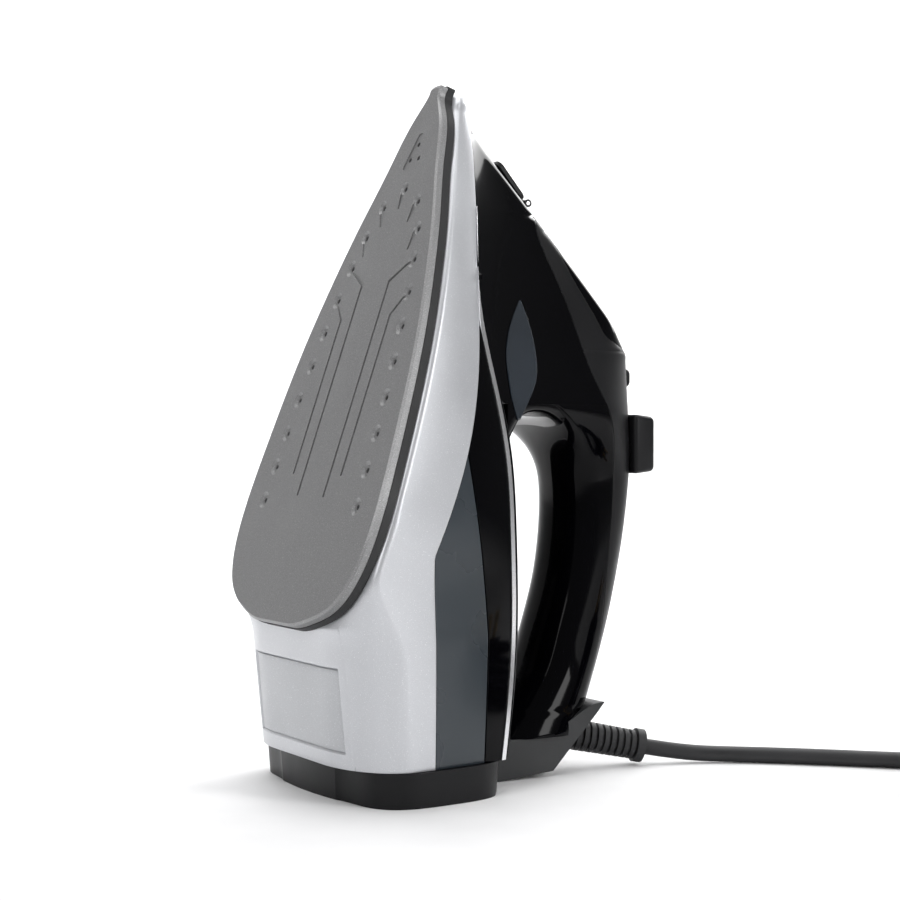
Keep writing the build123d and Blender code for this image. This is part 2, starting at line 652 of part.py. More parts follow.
with BuildPart() as thermostat:
    with BuildSketch(Plane.YZ.offset(THERMOSTAT_X)):
        with Locations((0, DIAL_Z)):
            Circle(10)
    extrude(amount=9)
    with BuildSketch(Plane.YZ.offset(THERMOSTAT_X + 9)):
        with Locations((0, DIAL_Z)):
            Circle(5)
            Circle(SHAFT_R + FIT, mode=Mode.SUBTRACT)
    extrude(amount=7)
    with BuildSketch(Plane.YZ.offset(THERMOSTAT_X + 4)):
        with Locations((14, DIAL_Z), (-14, DIAL_Z)):
            Rectangle(9, 5)
    extrude(amount=1)
write(thermostat.part, "thermostat")

with BuildPart() as indicator_lens:
    with BuildSketch(Plane.YZ.offset(42)):
        with Locations((0, LENS_Z)):
            RectangleRounded(LENS_WIDE - 0.2, LENS_LONG - 0.2, 1.5)
    extrude(amount=18)
    fillet(indicator_lens.faces().sort_by(Axis.X)[-1].edges(), 1.2)
write(indicator_lens.part, "indicator_lens")

with BuildPart() as indicator_lamp:
    with BuildSketch(Plane.YZ.offset(30)):
        with Locations((0, LENS_Z)):
            Circle(2.5)
    extrude(amount=11)
write(indicator_lamp.part, "indicator_lamp")

RESERVOIR = [(176, 24, 15.5, 28), (200, 19, 24.5, 26), (228, 12, 34.5, 16)]
with BuildPart() as water_reservoir:
    for inset in (0, 2):
        with BuildPart(mode=Mode.PRIVATE) as vessel:
            for z, half, low_x, deep in RESERVOIR:
                with BuildSketch(Plane.XY.offset(z + inset * (1 if z == 176 else -1 if z == 228 else 0))):
                    with Locations((low_x + deep / 2, 0)):
                        RectangleRounded(deep - 2 * inset, 2 * (half - inset) - 6, 2)
            loft()
        add(vessel.part, mode=Mode.SUBTRACT if inset else Mode.ADD)
write(water_reservoir.part, "water_reservoir")

BOARD_Z, BOARD_X = 62, 8
with BuildPart() as control_board:
    with BuildSketch(Plane.XY.offset(BOARD_Z)):
        with Locations((BOARD_X, 0)):
            Rectangle(40, 60)
            with Locations((-17, 26), (-17, -26), (17, 26), (17, -26)):
                Circle(1.6, mode=Mode.SUBTRACT)
    extrude(amount=1.6)
write(control_board.part, "control_board")

with BuildPart() as tilt_switch:
    with BuildSketch(Plane.XY.offset(BOARD_Z + 1.6)):
        with Locations((BOARD_X, 10)):
            Rectangle(12, 8)
    extrude(amount=9)
write(tilt_switch.part, "tilt_switch")

with BuildPart() as power_relay:
    with BuildSketch(Plane.XY.offset(BOARD_Z + 1.6)):
        with Locations((BOARD_X + 6, -14)):
            Rectangle(18, 15)
    extrude(amount=14)
write(power_relay.part, "power_relay")

with BuildPart() as thermal_fuse:
    with BuildSketch(sole.offset(CASTING_TOP + 0.2)):
        with Locations((24, -9)):
            Rectangle(5, 14)
    extrude(amount=4)
write(thermal_fuse.part, "thermal_fuse")

# ---- Heel: base, rear foot, cord connection -------------------------------------------------------------------
FOOTPRINT = [(-29.2, 26), (-26, 45), (-23.5, 52), (-18, 57.3), (-9.4, 59.3), (0.6, 58.6), (15.3, 56.2),
             (28, 51.6)]
BASE_BACK = [(32.5, 48.5), (38, 40)]


def footprint(inset=0):
    """The heel base's outline."""
    side = [(x + inset * (x < 0), y - inset) for x, y in FOOTPRINT]
    back = [(x - inset, y - inset) for x, y in BASE_BACK]
    with BuildSketch() as outline:
        with BuildLine():
            ThreePointArc((side[0][0], -side[0][1]), (-30.8 + inset, 0), side[0])
            for sign in (1, -1):
                rim = Spline(*[(x, sign * y) for x, y in side], (back[0][0], sign * back[0][1]))
                Line(rim @ 1, (back[1][0], sign * back[1][1]))
            Line((back[1][0], back[1][1]), (back[1][0], -back[1][1]))
        make_face()
    return outline.sketch


PAD_SPOTS = [(-12, 40), (-12, -40), (20, 34), (20, -34)]
BASE_SCREWS = [(-18, 20), (-18, -20)]
PAD_R, PAD_DEEP, BASE_FLOOR = 6, 1.2, 3
with BuildPart() as heel_base:
    with BuildSketch():
        add(footprint(0.8))
    with BuildSketch(Plane.XY.offset(BASE_HEIGHT)):
        add(footprint())
    loft()
    with BuildSketch(Plane.XY.offset(BASE_FLOOR)):
        add(footprint(3.2))
    extrude(amount=BASE_HEIGHT, mode=Mode.SUBTRACT)
    with BuildSketch():
        with Locations(*PAD_SPOTS):
            Circle(PAD_R + 0.2)
    extrude(amount=PAD_DEEP, mode=Mode.SUBTRACT)
    with BuildSketch():
        with Locations(*BASE_SCREWS):
            Circle(3.4)
    extrude(amount=BASE_FLOOR, mode=Mode.SUBTRACT)
write(heel_base.part, "heel_base")

with BuildPart() as heel_pads:
    with BuildSketch():
        with Locations(*PAD_SPOTS):
            Circle(PAD_R)
    extrude(amount=PAD_DEEP)
write(heel_pads.part, "heel_pads")

with BuildPart() as heel_screws:
    with BuildSketch(Plane.XY.offset(1)):
        with Locations(*BASE_SCREWS):
            Circle(3.2)
    extrude(amount=2)
    with BuildSketch(Plane.XY.offset(3)):
        with Locations(*BASE_SCREWS):
            Circle(1.8)
    extrude(amount=10)
    with BuildSketch(Plane.XY.offset(1)):
        with Locations(*BASE_SCREWS):
            Rectangle(4.4, 0.8)
            Rectangle(0.8, 4.4)
    extrude(amount=1.2, mode=Mode.SUBTRACT)
write(heel_screws.part, "heel_screws")

FOOT_HALF, BALL_R, NECK_R = 22, 7, 5
BALL = Vector(82, 0, 17)
GUARD_END = Vector(126, -13, 8)
guard_way = (GUARD_END - BALL).normalized()
with BuildPart() as rear_foot:
    add(prism([(38.4, 0), (49, 0), (75, 2.5), (97.5, 26), *FOOT_TOP[:0:-1], (44, 17), (44, 13.6), (38.4, 13.6)],
              half=FOOT_HALF, curved=[(4, 9)]))
    fillet(rear_foot.edges().filter_by(Axis.Z), 1)
    add(prism([(47, 3), (50, 3), (73, 5.5), (92, 25.5), (84, 40), (47, 40)], half=FOOT_HALF - WALL),
        mode=Mode.SUBTRACT)
    with BuildSketch(Plane(origin=BALL, x_dir=(0, 1, 0), z_dir=guard_way)):
        SlotOverall(24, 2 * NECK_R + 7)
    extrude(amount=40, mode=Mode.SUBTRACT)
    with Locations(BALL):
        Sphere(BALL_R + 0.4, mode=Mode.SUBTRACT)
write(rear_foot.part, "rear_foot")

with BuildPart() as swivel_socket:
    with BuildSketch(Plane.XY.offset(12)):
        with Locations((73, 0)):
            Rectangle(12, 19)
    extrude(amount=15)
    with Locations(BALL):
        Sphere(BALL_R + GAP, mode=Mode.SUBTRACT)
    add(rear_foot.part, mode=Mode.SUBTRACT)
    add(prism([(38, -1), (49, -1), (75, 2.4), (105, 34), (140, 30), (140, -9), (38, -9)]), mode=Mode.SUBTRACT)
write(swivel_socket.part, "swivel_socket")

RIB_START, RIB_PITCH, RIBS, RIB_R, COLLAR_R, COLLAR_LONG = 12.5, 3.1, 10, 6.8, 7.3, 3.6
guard_plane = Plane(origin=BALL, z_dir=guard_way)
guard_length = (GUARD_END - BALL).length
with BuildPart() as cord_guard:
    with Locations(BALL):
        Sphere(BALL_R)
    with BuildSketch(guard_plane):
        Circle(NECK_R)
    extrude(amount=guard_length)
    for rib in range(RIBS):
        with BuildSketch(guard_plane.offset(RIB_START + rib * RIB_PITCH)):
            Circle(RIB_R - 0.05 * rib)
        extrude(amount=RIB_PITCH * 0.62)
    with BuildSketch(guard_plane.offset(guard_length - COLLAR_LONG)):
        Circle(COLLAR_R)
    extrude(amount=COLLAR_LONG)
write(cord_guard.part, "cord_guard")

# Cord: straight out of the guard, down to the floor, one long bend to the coil
CORD_Z = CORD_D / 2 + 0.1
ROUTE = [tuple(GUARD_END), (143.9, -18.3, 4.4), (163.3, -28.6, CORD_Z), (182.2, -43.4, CORD_Z),
         (200.2, -60.8, CORD_Z), (217.2, -79.1, CORD_Z), (236.4, -101, CORD_Z)]
route = [Vector(*p) for p in ROUTE]
radii = []
for before, here, after in zip(route, route[1:], route[2:]):
    turn = (here - before).get_angle(after - here)
    radii.append(0.45 * min((here - before).length, (after - here).length) / tan(radians(turn / 2)))
print("cord radii", [round(r) for r in radii])
with BuildPart() as mains_cord:
    with BuildLine():
        path = FilletPolyline(*route, radius=radii)
    with BuildSketch(Plane(origin=path @ 0, z_dir=path % 0)):
        Circle(CORD_D / 2)
    sweep()
write(mains_cord.part, "mains_cord")

COIL_X, COIL_Y, COIL_R, COIL_WIDE, COIL_HIGH = 224.6, -145.8, 38.5, 20, 21
with BuildPart() as cord_coil:
    with BuildSketch():
        with Locations((COIL_X, COIL_Y)):
            Circle(COIL_R + COIL_WIDE / 2)
            Circle(COIL_R - COIL_WIDE / 2, mode=Mode.SUBTRACT)
    extrude(amount=COIL_HIGH)
write(cord_coil.part, "cord_coil")

# The cord's end rises from the coil's top, curls over it and enters the plug, which lies on the coil
PLUG_LOW = COIL_HIGH + 0.3
TAIL_ROUTE = [(COIL_X - 30, COIL_Y + 34, 15.5), (COIL_X - 11, COIL_Y + 44.5, 19), (COIL_X + 8, COIL_Y + 45.5, 24),
              (COIL_X + 23.5, COIL_Y + 33, 29), (COIL_X + 23.5, COIL_Y + 17.5, 30.8)]
with BuildPart() as plug_tail:
    with BuildLine():
        tail_path = FilletPolyline(*TAIL_ROUTE, radius=20)
    with BuildSketch(Plane(origin=tail_path @ 0, z_dir=tail_path % 0)):
        Circle(CORD_D / 2)
    sweep()
write(plug_tail.part, "plug_tail")

PLUG_WAY = Vector(0, -1, 0)
PLUG_START = Vector(*TAIL_ROUTE[-1])
PLUG_THICK, PLUG_LONG, PLUG_WIDE, RELIEF_LONG = 19, 44, 50, 22
plug_plane = Plane(origin=PLUG_START, z_dir=PLUG_WAY, x_dir=(1, 0, 0))
plug_middle = PLUG_START + PLUG_WAY * (RELIEF_LONG + PLUG_LONG / 2)
plug_flat = Plane(origin=(plug_middle.X, plug_middle.Y, PLUG_LOW), x_dir=(0, -1, 0))
with BuildPart() as plug_body:
    with BuildSketch(plug_flat):
        outline = Polygon((-PLUG_LONG / 2, -15), (-PLUG_LONG / 2, 15), (-6, PLUG_WIDE / 2),
                          (PLUG_LONG / 2, PLUG_WIDE / 2), (PLUG_LONG / 2, -PLUG_WIDE / 2), (-6, -PLUG_WIDE / 2),
                          align=None)
        fillet(outline.vertices(), 6)
    extrude(amount=PLUG_THICK)
    with BuildSketch(plug_plane):
        Circle(5)
    with BuildSketch(plug_plane.offset(RELIEF_LONG + 2)):
        Circle(7)
    loft()
write(plug_body.part, "plug_body")

with BuildPart() as plug_pins:
    with BuildSketch(plug_flat.offset(PLUG_THICK)):
        with Locations((-9, 11.1), (-9, -11.1)):
            Rectangle(4, 6.4)
        with Locations((13.4, 0)):
            Rectangle(8, 4)
    extrude(amount=17.7)
    with BuildSketch(plug_flat.offset(PLUG_THICK)):
        with Locations((13.4, 0)):
            Rectangle(8, 4)
    extrude(amount=22.7)
write(plug_pins.part, "plug_pins")

with BuildPart() as terminal_block:
    with BuildSketch(Plane.XY.offset(22)):
        with Locations((16, 0)):
            Rectangle(14, 34)
            with GridLocations(0, 11, 1, 3):
                Circle(2, mode=Mode.SUBTRACT)
    extrude(amount=12)
write(terminal_block.part, "terminal_block")

with BuildPart() as cord_clamp:
    with BuildSketch(Plane.XY.offset(6.5)):
        with Locations((54, 0)):
            Rectangle(8, 26)
            with GridLocations(0, 18, 1, 2):
                Circle(1.7, mode=Mode.SUBTRACT)
    extrude(amount=4)
write(cord_clamp.part, "cord_clamp")
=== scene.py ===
"""Corded steam iron standing on its heel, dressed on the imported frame.

Everything is in metres in the frame's own axes: +Z up, the soleplate faces -X and leans back, the handle is on
the +X side, and the origin lies in the middle of the heel's flat face.
"""
from __future__ import annotations

import json
import logging
from collections.abc import Callable, Sequence
from dataclasses import dataclass, field
from enum import Enum
from math import cos, pi, radians, sin, tan

import bmesh
import bpy
import numpy as np
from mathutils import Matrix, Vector


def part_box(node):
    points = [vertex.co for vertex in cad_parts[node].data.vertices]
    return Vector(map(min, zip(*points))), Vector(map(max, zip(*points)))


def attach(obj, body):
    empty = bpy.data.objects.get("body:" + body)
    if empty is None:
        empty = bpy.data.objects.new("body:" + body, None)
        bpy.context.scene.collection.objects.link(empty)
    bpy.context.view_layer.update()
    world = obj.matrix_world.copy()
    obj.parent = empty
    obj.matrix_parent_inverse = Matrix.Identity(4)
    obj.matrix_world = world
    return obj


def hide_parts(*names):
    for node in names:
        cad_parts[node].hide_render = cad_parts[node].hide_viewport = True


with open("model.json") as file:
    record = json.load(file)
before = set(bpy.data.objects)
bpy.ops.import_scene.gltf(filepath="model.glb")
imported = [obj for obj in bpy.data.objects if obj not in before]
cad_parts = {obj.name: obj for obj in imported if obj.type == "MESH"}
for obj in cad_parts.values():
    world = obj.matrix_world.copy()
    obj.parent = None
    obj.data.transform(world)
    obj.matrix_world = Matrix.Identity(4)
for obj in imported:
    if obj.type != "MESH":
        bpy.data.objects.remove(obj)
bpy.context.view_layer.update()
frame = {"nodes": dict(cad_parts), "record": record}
log = logging.getLogger("steam_iron")

MM = 0.001
LEAN = radians(18.8)
BEFORE, BEYOND = -99.0, 999.0
Path = np.ndarray
Row = np.ndarray


class Grain(Enum):
    """What the surface of a finish is like close up."""

    SMOOTH = "smooth"
    SPARKLE = "sparkle"
    SATIN = "satin"
    BRUSHED = "brushed"
    CAST = "cast"


@dataclass(frozen=True)
class Finish:
    """One material of the iron, with its wear and grain."""

    name: str
    colour: tuple[float, float, float]
    roughness: float
    metallic: float = 0.0
    grain: Grain = Grain.SMOOTH
    coat: float = 0.0
    coat_roughness: float = 0.04
    variation: float = 0.12
    bump: float = 0.05
    scale: float = 900.0
    specular: float = 0.5

    def material(self) -> bpy.types.Material:
        """The finish's node material, made once.

        Returns:
            The material.
        """
        made = bpy.data.materials.get(f"{self.name}_finish")
        if made:
            return made
        made = bpy.data.materials.new(f"{self.name}_finish")
        made.use_nodes = True
        tree = made.node_tree
        shader = tree.nodes["Principled BSDF"]
        shader.inputs["Metallic"].default_value = self.metallic
        shader.inputs["Specular IOR Level"].default_value = self.specular
        shader.inputs["Coat Weight"].default_value = self.coat
        shader.inputs["Coat Roughness"].default_value = self.coat_roughness
        place = tree.nodes.new("ShaderNodeTexCoord")
        mapping = tree.nodes.new("ShaderNodeMapping")
        tree.links.new(place.outputs["Object"], mapping.inputs["Vector"])
        if self.grain is Grain.BRUSHED:
            mapping.inputs["Scale"].default_value = (1.0, 6.0, 0.12)
            mapping.inputs["Rotation"].default_value = (0, -LEAN, 0)
        self._colour(tree, shader, mapping)
        self._roughness(tree, shader, mapping)
        self._relief(tree, shader, mapping)
        return made

    def _noise(self, tree: bpy.types.NodeTree, mapping: bpy.types.Node, scale: float,
               detail: float) -> bpy.types.Node:
        """A noise texture on the piece's own coordinates.

        Args:
            tree: the material's nodes.
            mapping: the node that gives the coordinates.
            scale: how fine the noise is.
            detail: how many finer layers it has.

        Returns:
            The noise node.
        """
        noise = tree.nodes.new("ShaderNodeTexNoise")
        noise.inputs["Scale"].default_value = scale
        noise.inputs["Detail"].default_value = detail
        tree.links.new(mapping.outputs["Vector"], noise.inputs["Vector"])
        return noise

    def _colour(self, tree: bpy.types.NodeTree, shader: bpy.types.Node, mapping: bpy.types.Node) -> None:
        """Colour that varies a little over the surface, with bright flecks on a sparkling finish.

        Args:
            tree: the material's nodes.
            shader: the surface shader.
            mapping: the node that gives the coordinates.
        """
        fine = self.grain in (Grain.SPARKLE, Grain.BRUSHED)
        noise = self._noise(tree, mapping, self.scale if fine else 38, 3)
        ramp = tree.nodes.new("ShaderNodeValToRGB")
        low = [c * (1 - self.variation) for c in self.colour]
        high = [min(1, c * (1 + self.variation)) for c in self.colour]
        ramp.color_ramp.elements[0].color = (*low, 1)
        ramp.color_ramp.elements[1].color = (*high, 1)
        ramp.color_ramp.elements[0].position = 0.35
        ramp.color_ramp.elements[1].position = 0.65
        if self.grain is Grain.SPARKLE:
            fleck = ramp.color_ramp.elements.new(0.74)
            fleck.color = (*[min(1, c * 1.9 + 0.05) for c in self.colour], 1)
        tree.links.new(noise.outputs["Fac"], ramp.inputs["Fac"])
        tree.links.new(ramp.outputs["Color"], shader.inputs["Base Color"])

    def _roughness(self, tree: bpy.types.NodeTree, shader: bpy.types.Node, mapping: bpy.types.Node) -> None:
        """Roughness with faint smears from handling.

        Args:
            tree: the material's nodes.
            shader: the surface shader.
            mapping: the node that gives the coordinates.
        """
        noise = self._noise(tree, mapping, 24, 4)
        spread = tree.nodes.new("ShaderNodeMapRange")
        spread.inputs["From Min"].default_value = 0.3
        spread.inputs["From Max"].default_value = 0.75
        spread.inputs["To Min"].default_value = self.roughness * 0.85
        spread.inputs["To Max"].default_value = min(1, self.roughness * 1.3)
        tree.links.new(noise.outputs["Fac"], spread.inputs["Value"])
        tree.links.new(spread.outputs["Result"], shader.inputs["Roughness"])

    def _relief(self, tree: bpy.types.NodeTree, shader: bpy.types.Node, mapping: bpy.types.Node) -> None:
        """Fine relief: moulded grain, brushing or the slight waviness of a polished skin.

        Args:
            tree: the material's nodes.
            shader: the surface shader.
            mapping: the node that gives the coordinates.
        """
        noise = self._noise(tree, mapping, self.scale, 2)
        bump = tree.nodes.new("ShaderNodeBump")
        bump.inputs["Strength"].default_value = self.bump
        bump.inputs["Distance"].default_value = 0.0003
        tree.links.new(noise.outputs["Fac"], bump.inputs["Height"])
        tree.links.new(bump.outputs["Normal"], shader.inputs["Normal"])


NON_STICK = Finish("sole_coating", (0.26, 0.26, 0.263), 0.42, 0.5, Grain.SPARKLE, variation=0.16,
                   bump=0.06, scale=2600)
HEATPROOF = Finish("shield_black", (0.012, 0.012, 0.013), 0.55, bump=0.15, grain=Grain.SATIN)
CAST = Finish("cast_aluminium", (0.45, 0.45, 0.46), 0.5, 1.0, Grain.CAST, bump=0.4, scale=600)
STEEL = Finish("steel", (0.55, 0.55, 0.57), 0.28, 1.0, Grain.BRUSHED, bump=0.12, scale=500)
SILVER = Finish("silver_plastic", (0.56, 0.57, 0.595), 0.34, 0.5, Grain.SPARKLE, coat=0.2,
                coat_roughness=0.15, variation=0.035, bump=0.012, scale=3200)
SLATE = Finish("slate_plastic", (0.024, 0.032, 0.04), 0.26, 0.0, coat=0.1, coat_roughness=0.1, bump=0.004,
               scale=900, variation=0.03)
PIANO = Finish("gloss_black", (0.001, 0.001, 0.0016), 0.07, coat=0.02, coat_roughness=0.03, bump=0.003,
               scale=90, specular=0.09)
# Chrome; on the strip along the belt line it also serves as a painted highlight for the light on the shell's edge.
CHROME = Finish("chrome", (0.84, 0.84, 0.86), 0.22, 1.0, variation=0.03, bump=0.01, scale=200)
SMOKED = Finish("smoked_clear", (0.018, 0.024, 0.032), 0.08, coat=0.35, coat_roughness=0.02, bump=0.004,
                scale=80)
SATIN = Finish("satin_black", (0.007, 0.007, 0.008), 0.36, grain=Grain.SATIN, bump=0.06, scale=1500,
               specular=0.2)
GREY = Finish("satin_grey", (0.018, 0.019, 0.0205), 0.42, grain=Grain.SATIN, bump=0.2, scale=1500)
RUBBER = Finish("rubber", (0.014, 0.014, 0.014), 0.7, grain=Grain.SATIN, bump=0.3, scale=1100)
LABEL = Finish("label", (0.47, 0.48, 0.5), 0.35, 0.3, Grain.SPARKLE, variation=0.05, bump=0.02,
               scale=2400)
BRASS = Finish("brass", (0.62, 0.44, 0.17), 0.25, 1.0, Grain.BRUSHED, bump=0.1, scale=500)
BOARD = Finish("board", (0.015, 0.11, 0.045), 0.35, coat=0.3, bump=0.12, scale=700)
CABLE = Finish("cable", (0.011, 0.011, 0.0125), 0.5, grain=Grain.SATIN, bump=0.18, scale=1300)
AMBER = Finish("amber", (0.32, 0.07, 0.015), 0.1, coat=0.7, bump=0.02, scale=300)
FLOOR = Finish("studio_floor", (0.86, 0.86, 0.865), 0.6, variation=0.01, bump=0.0, scale=60)
FINISHES = {finish.name: finish for finish in (
    NON_STICK, HEATPROOF, CAST, STEEL, SILVER, SLATE, PIANO, CHROME, SMOKED, SATIN, GREY, RUBBER, LABEL, BRASS,
    BOARD, CABLE, AMBER)}


class Line:
    """A smooth line through stations: the natural cubic spline of a value over a height."""

    def __init__(self, stations: Sequence[tuple[float, float]]) -> None:
        """Args:
            stations: pairs of position and value, in any order.
        """
        ordered = np.array(sorted(stations), float)
        self.at, self.value = ordered[:, 0], ordered[:, 1]
        gap, count = np.diff(self.at), len(ordered)
        system, slope = np.eye(count), np.zeros(count)
        for i in range(1, count - 1):
            system[i, i - 1:i + 2] = gap[i - 1], 2 * (gap[i - 1] + gap[i]), gap[i]
            slope[i] = 6 * ((self.value[i + 1] - self.value[i]) / gap[i]
                            - (self.value[i] - self.value[i - 1]) / gap[i - 1])
        self.bend = np.linalg.solve(system, slope)

    def __call__(self, at: float | np.ndarray) -> float | np.ndarray:
        """The value at a position, held at the ends.

        Args:
            at: one position or several.

        Returns:
            The value or values.
        """
        at = np.clip(at, self.at[0], self.at[-1])
        i = np.clip(np.searchsorted(self.at, at) - 1, 0, len(self.at) - 2)
        gap = self.at[i + 1] - self.at[i]
        a, b = (self.at[i + 1] - at) / gap, (at - self.at[i]) / gap
        return (a * self.value[i] + b * self.value[i + 1]
                + ((a ** 3 - a) * self.bend[i] + (b ** 3 - b) * self.bend[i + 1]) * gap ** 2 / 6)


def step(low: float, high: float, at: float) -> float:
    """Smooth rise from 0 to 1.

    Args:
        low: where it leaves 0.
        high: where it reaches 1.
        at: the position asked for.

    Returns:
        A value from 0 to 1.
    """
    t = min(1.0, max(0.0, (at - low) / (high - low)))
    return t * t * (3 - 2 * t)


def resample(path: Path, count: int) -> Path:
    """The same line with evenly spaced points.

    Args:
        path: points along a line.
        count: how many points to give back.

    Returns:
        The new points.
    """
    run = np.concatenate([[0], np.cumsum(np.linalg.norm(np.diff(path, axis=0), axis=1))])
    wanted = np.linspace(0, run[-1], count)
    return np.stack([np.interp(wanted, run, path[:, i]) for i in range(path.shape[1])], axis=1)


def between(path: Path, low: float, high: float) -> Path:
    """The stretch of a section whose X lies between two values, cut exactly at them.

    Args:
        path: section points whose X rises.
        low: first X.
        high: last X.

    Returns:
        The stretch.
    """
    high = min(high, path[-1, 0])
    inner = path[(path[:, 0] > max(low, path[0, 0]) + 1e-6) & (path[:, 0] < high - 1e-6)]
    first, last = (np.array([[x, np.interp(x, path[:, 0], path[:, 1])]]) for x in (low, high))
    return np.concatenate([path[:1] if low <= path[0, 0] else first, inner, last])


def sheet_object(name: str, grids: Sequence[Sequence[Row]], inside: Callable[[float], float], wall: float,
                 edge: float = 0.28, merge: float = 0.02) -> bpy.types.Object:
    """A moulded wall: grids of points joined, given a thickness inwards and rounded along its rims.

    Args:
        name: the piece's name.
        grids: one or more grids, each a list of rows of points in millimetres.
        inside: X of a line inside the iron, by height, that the outer faces look away from.
        wall: the wall's thickness in millimetres.
        edge: the radius on its rims in millimetres.
        merge: points nearer than this many millimetres become one.

    Returns:
        The finished object.
    """
    bm = bmesh.new()
    for rows in grids:
        made = [[bm.verts.new(Vector(p) * MM) for p in row] for row in rows]
        for lower, upper in zip(made, made[1:]):
            for i in range(len(lower) - 1):
                bm.faces.new((lower[i], lower[i + 1], upper[i + 1], upper[i]))
    bmesh.ops.remove_doubles(bm, verts=bm.verts, dist=merge * MM)
    bmesh.ops.recalc_face_normals(bm, faces=bm.faces)
    bm.normal_update()
    bm.faces.ensure_lookup_table()
    score = 0.0
    for face in bm.faces:
        c = face.calc_center_median()
        score += face.normal.dot(c - Vector((inside(c.z / MM) * MM, 0, c.z))) * face.calc_area()
    if score < 0:
        bmesh.ops.reverse_faces(bm, faces=bm.faces)
    mesh = bpy.data.meshes.new(name)
    bm.to_mesh(mesh)
    bm.free()
    piece = bpy.data.objects.new(name, mesh)
    bpy.context.scene.collection.objects.link(piece)
    thick = piece.modifiers.new("wall", "SOLIDIFY")
    thick.thickness = wall * MM
    thick.offset = -1
    thick.use_even_offset = False
    if edge:
        rim = piece.modifiers.new("rim", "BEVEL")
        rim.width = edge * MM
        rim.segments = 2
        rim.limit_method = "ANGLE"
        rim.angle_limit = radians(50)
    return settle(piece)


def settle(piece: bpy.types.Object, sharp: float = 40) -> bpy.types.Object:
    """Applies a piece's modifiers and shades it smooth up to an angle.

    Args:
        piece: the object.
        sharp: edges over this many degrees stay sharp.

    Returns:
        The same object with a plain mesh.
    """
    bpy.context.view_layer.update()
    done = bpy.data.meshes.new_from_object(piece.evaluated_get(bpy.context.evaluated_depsgraph_get()))
    piece.modifiers.clear()
    piece.data = done
    done.name = piece.name
    done.shade_smooth()
    done.set_sharp_from_angle(angle=radians(sharp))
    return piece


def dress(piece: bpy.types.Object, finish: Finish, body: str, *stands_for: str) -> bpy.types.Object:
    """Gives a piece its finish and its body, and hides the frame nodes that it stands for.

    Args:
        piece: the object.
        finish: its finish.
        body: the frame body that it rides on.
        *stands_for: frame nodes that it replaces.

    Returns:
        The same object.
    """
    piece.data.materials.clear()
    piece.data.materials.append(finish.material())
    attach(piece, body)
    if stands_for:
        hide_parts(*stands_for)
    log.info("%s: %s on %s", piece.name, finish.name, body)
    return piece


BODY = [(14, 58.5, 36, 48), (45, 60.5, 39.5, 48), (75, 61.8, 40.8, 48), (105, 62.7, 40.5, 47.5),
        (135, 60.7, 39, 46.5), (165, 56.3, 33, 46), (194, 49, 28.2, 42.5), (220, 39.2, 31, 34),
        (245, 27.7, 35.6, 24.5), (265, 17.3, 39.8, 14.5), (281, 8.5, 43, 5.5)]
ARM = [(157, 29, 15), (175, 28, 15), (194, 27, 15), (220, 22.5, 13), (245, 16.5, 10), (265, 10.5, 7), (276, 6.5, 4.5)]
HANDLE = [(16, 46, 94, 24), (30, 58, 99.5, 21.5), (44, 69.5, 104.6, 19.5), (60, 76, 109.8, 19),
          (80, 82, 114.8, 19), (100, 85.3, 118.9, 19), (118, 86, 121.6, 19), (134, 83.5, 123.2, 19),
          (146, 76.5, 123.5, 18.6), (157, 62, 123.5, 17)]
TIP, TIP_LONG, NECK = 281.0, 6.5, 157.0
BOTTOM, ARM_TOP, CAP_LOW, CAP_HIGH, NOSE_LOW = 14.2, 276.5, 180.8, 231.0, 238.5


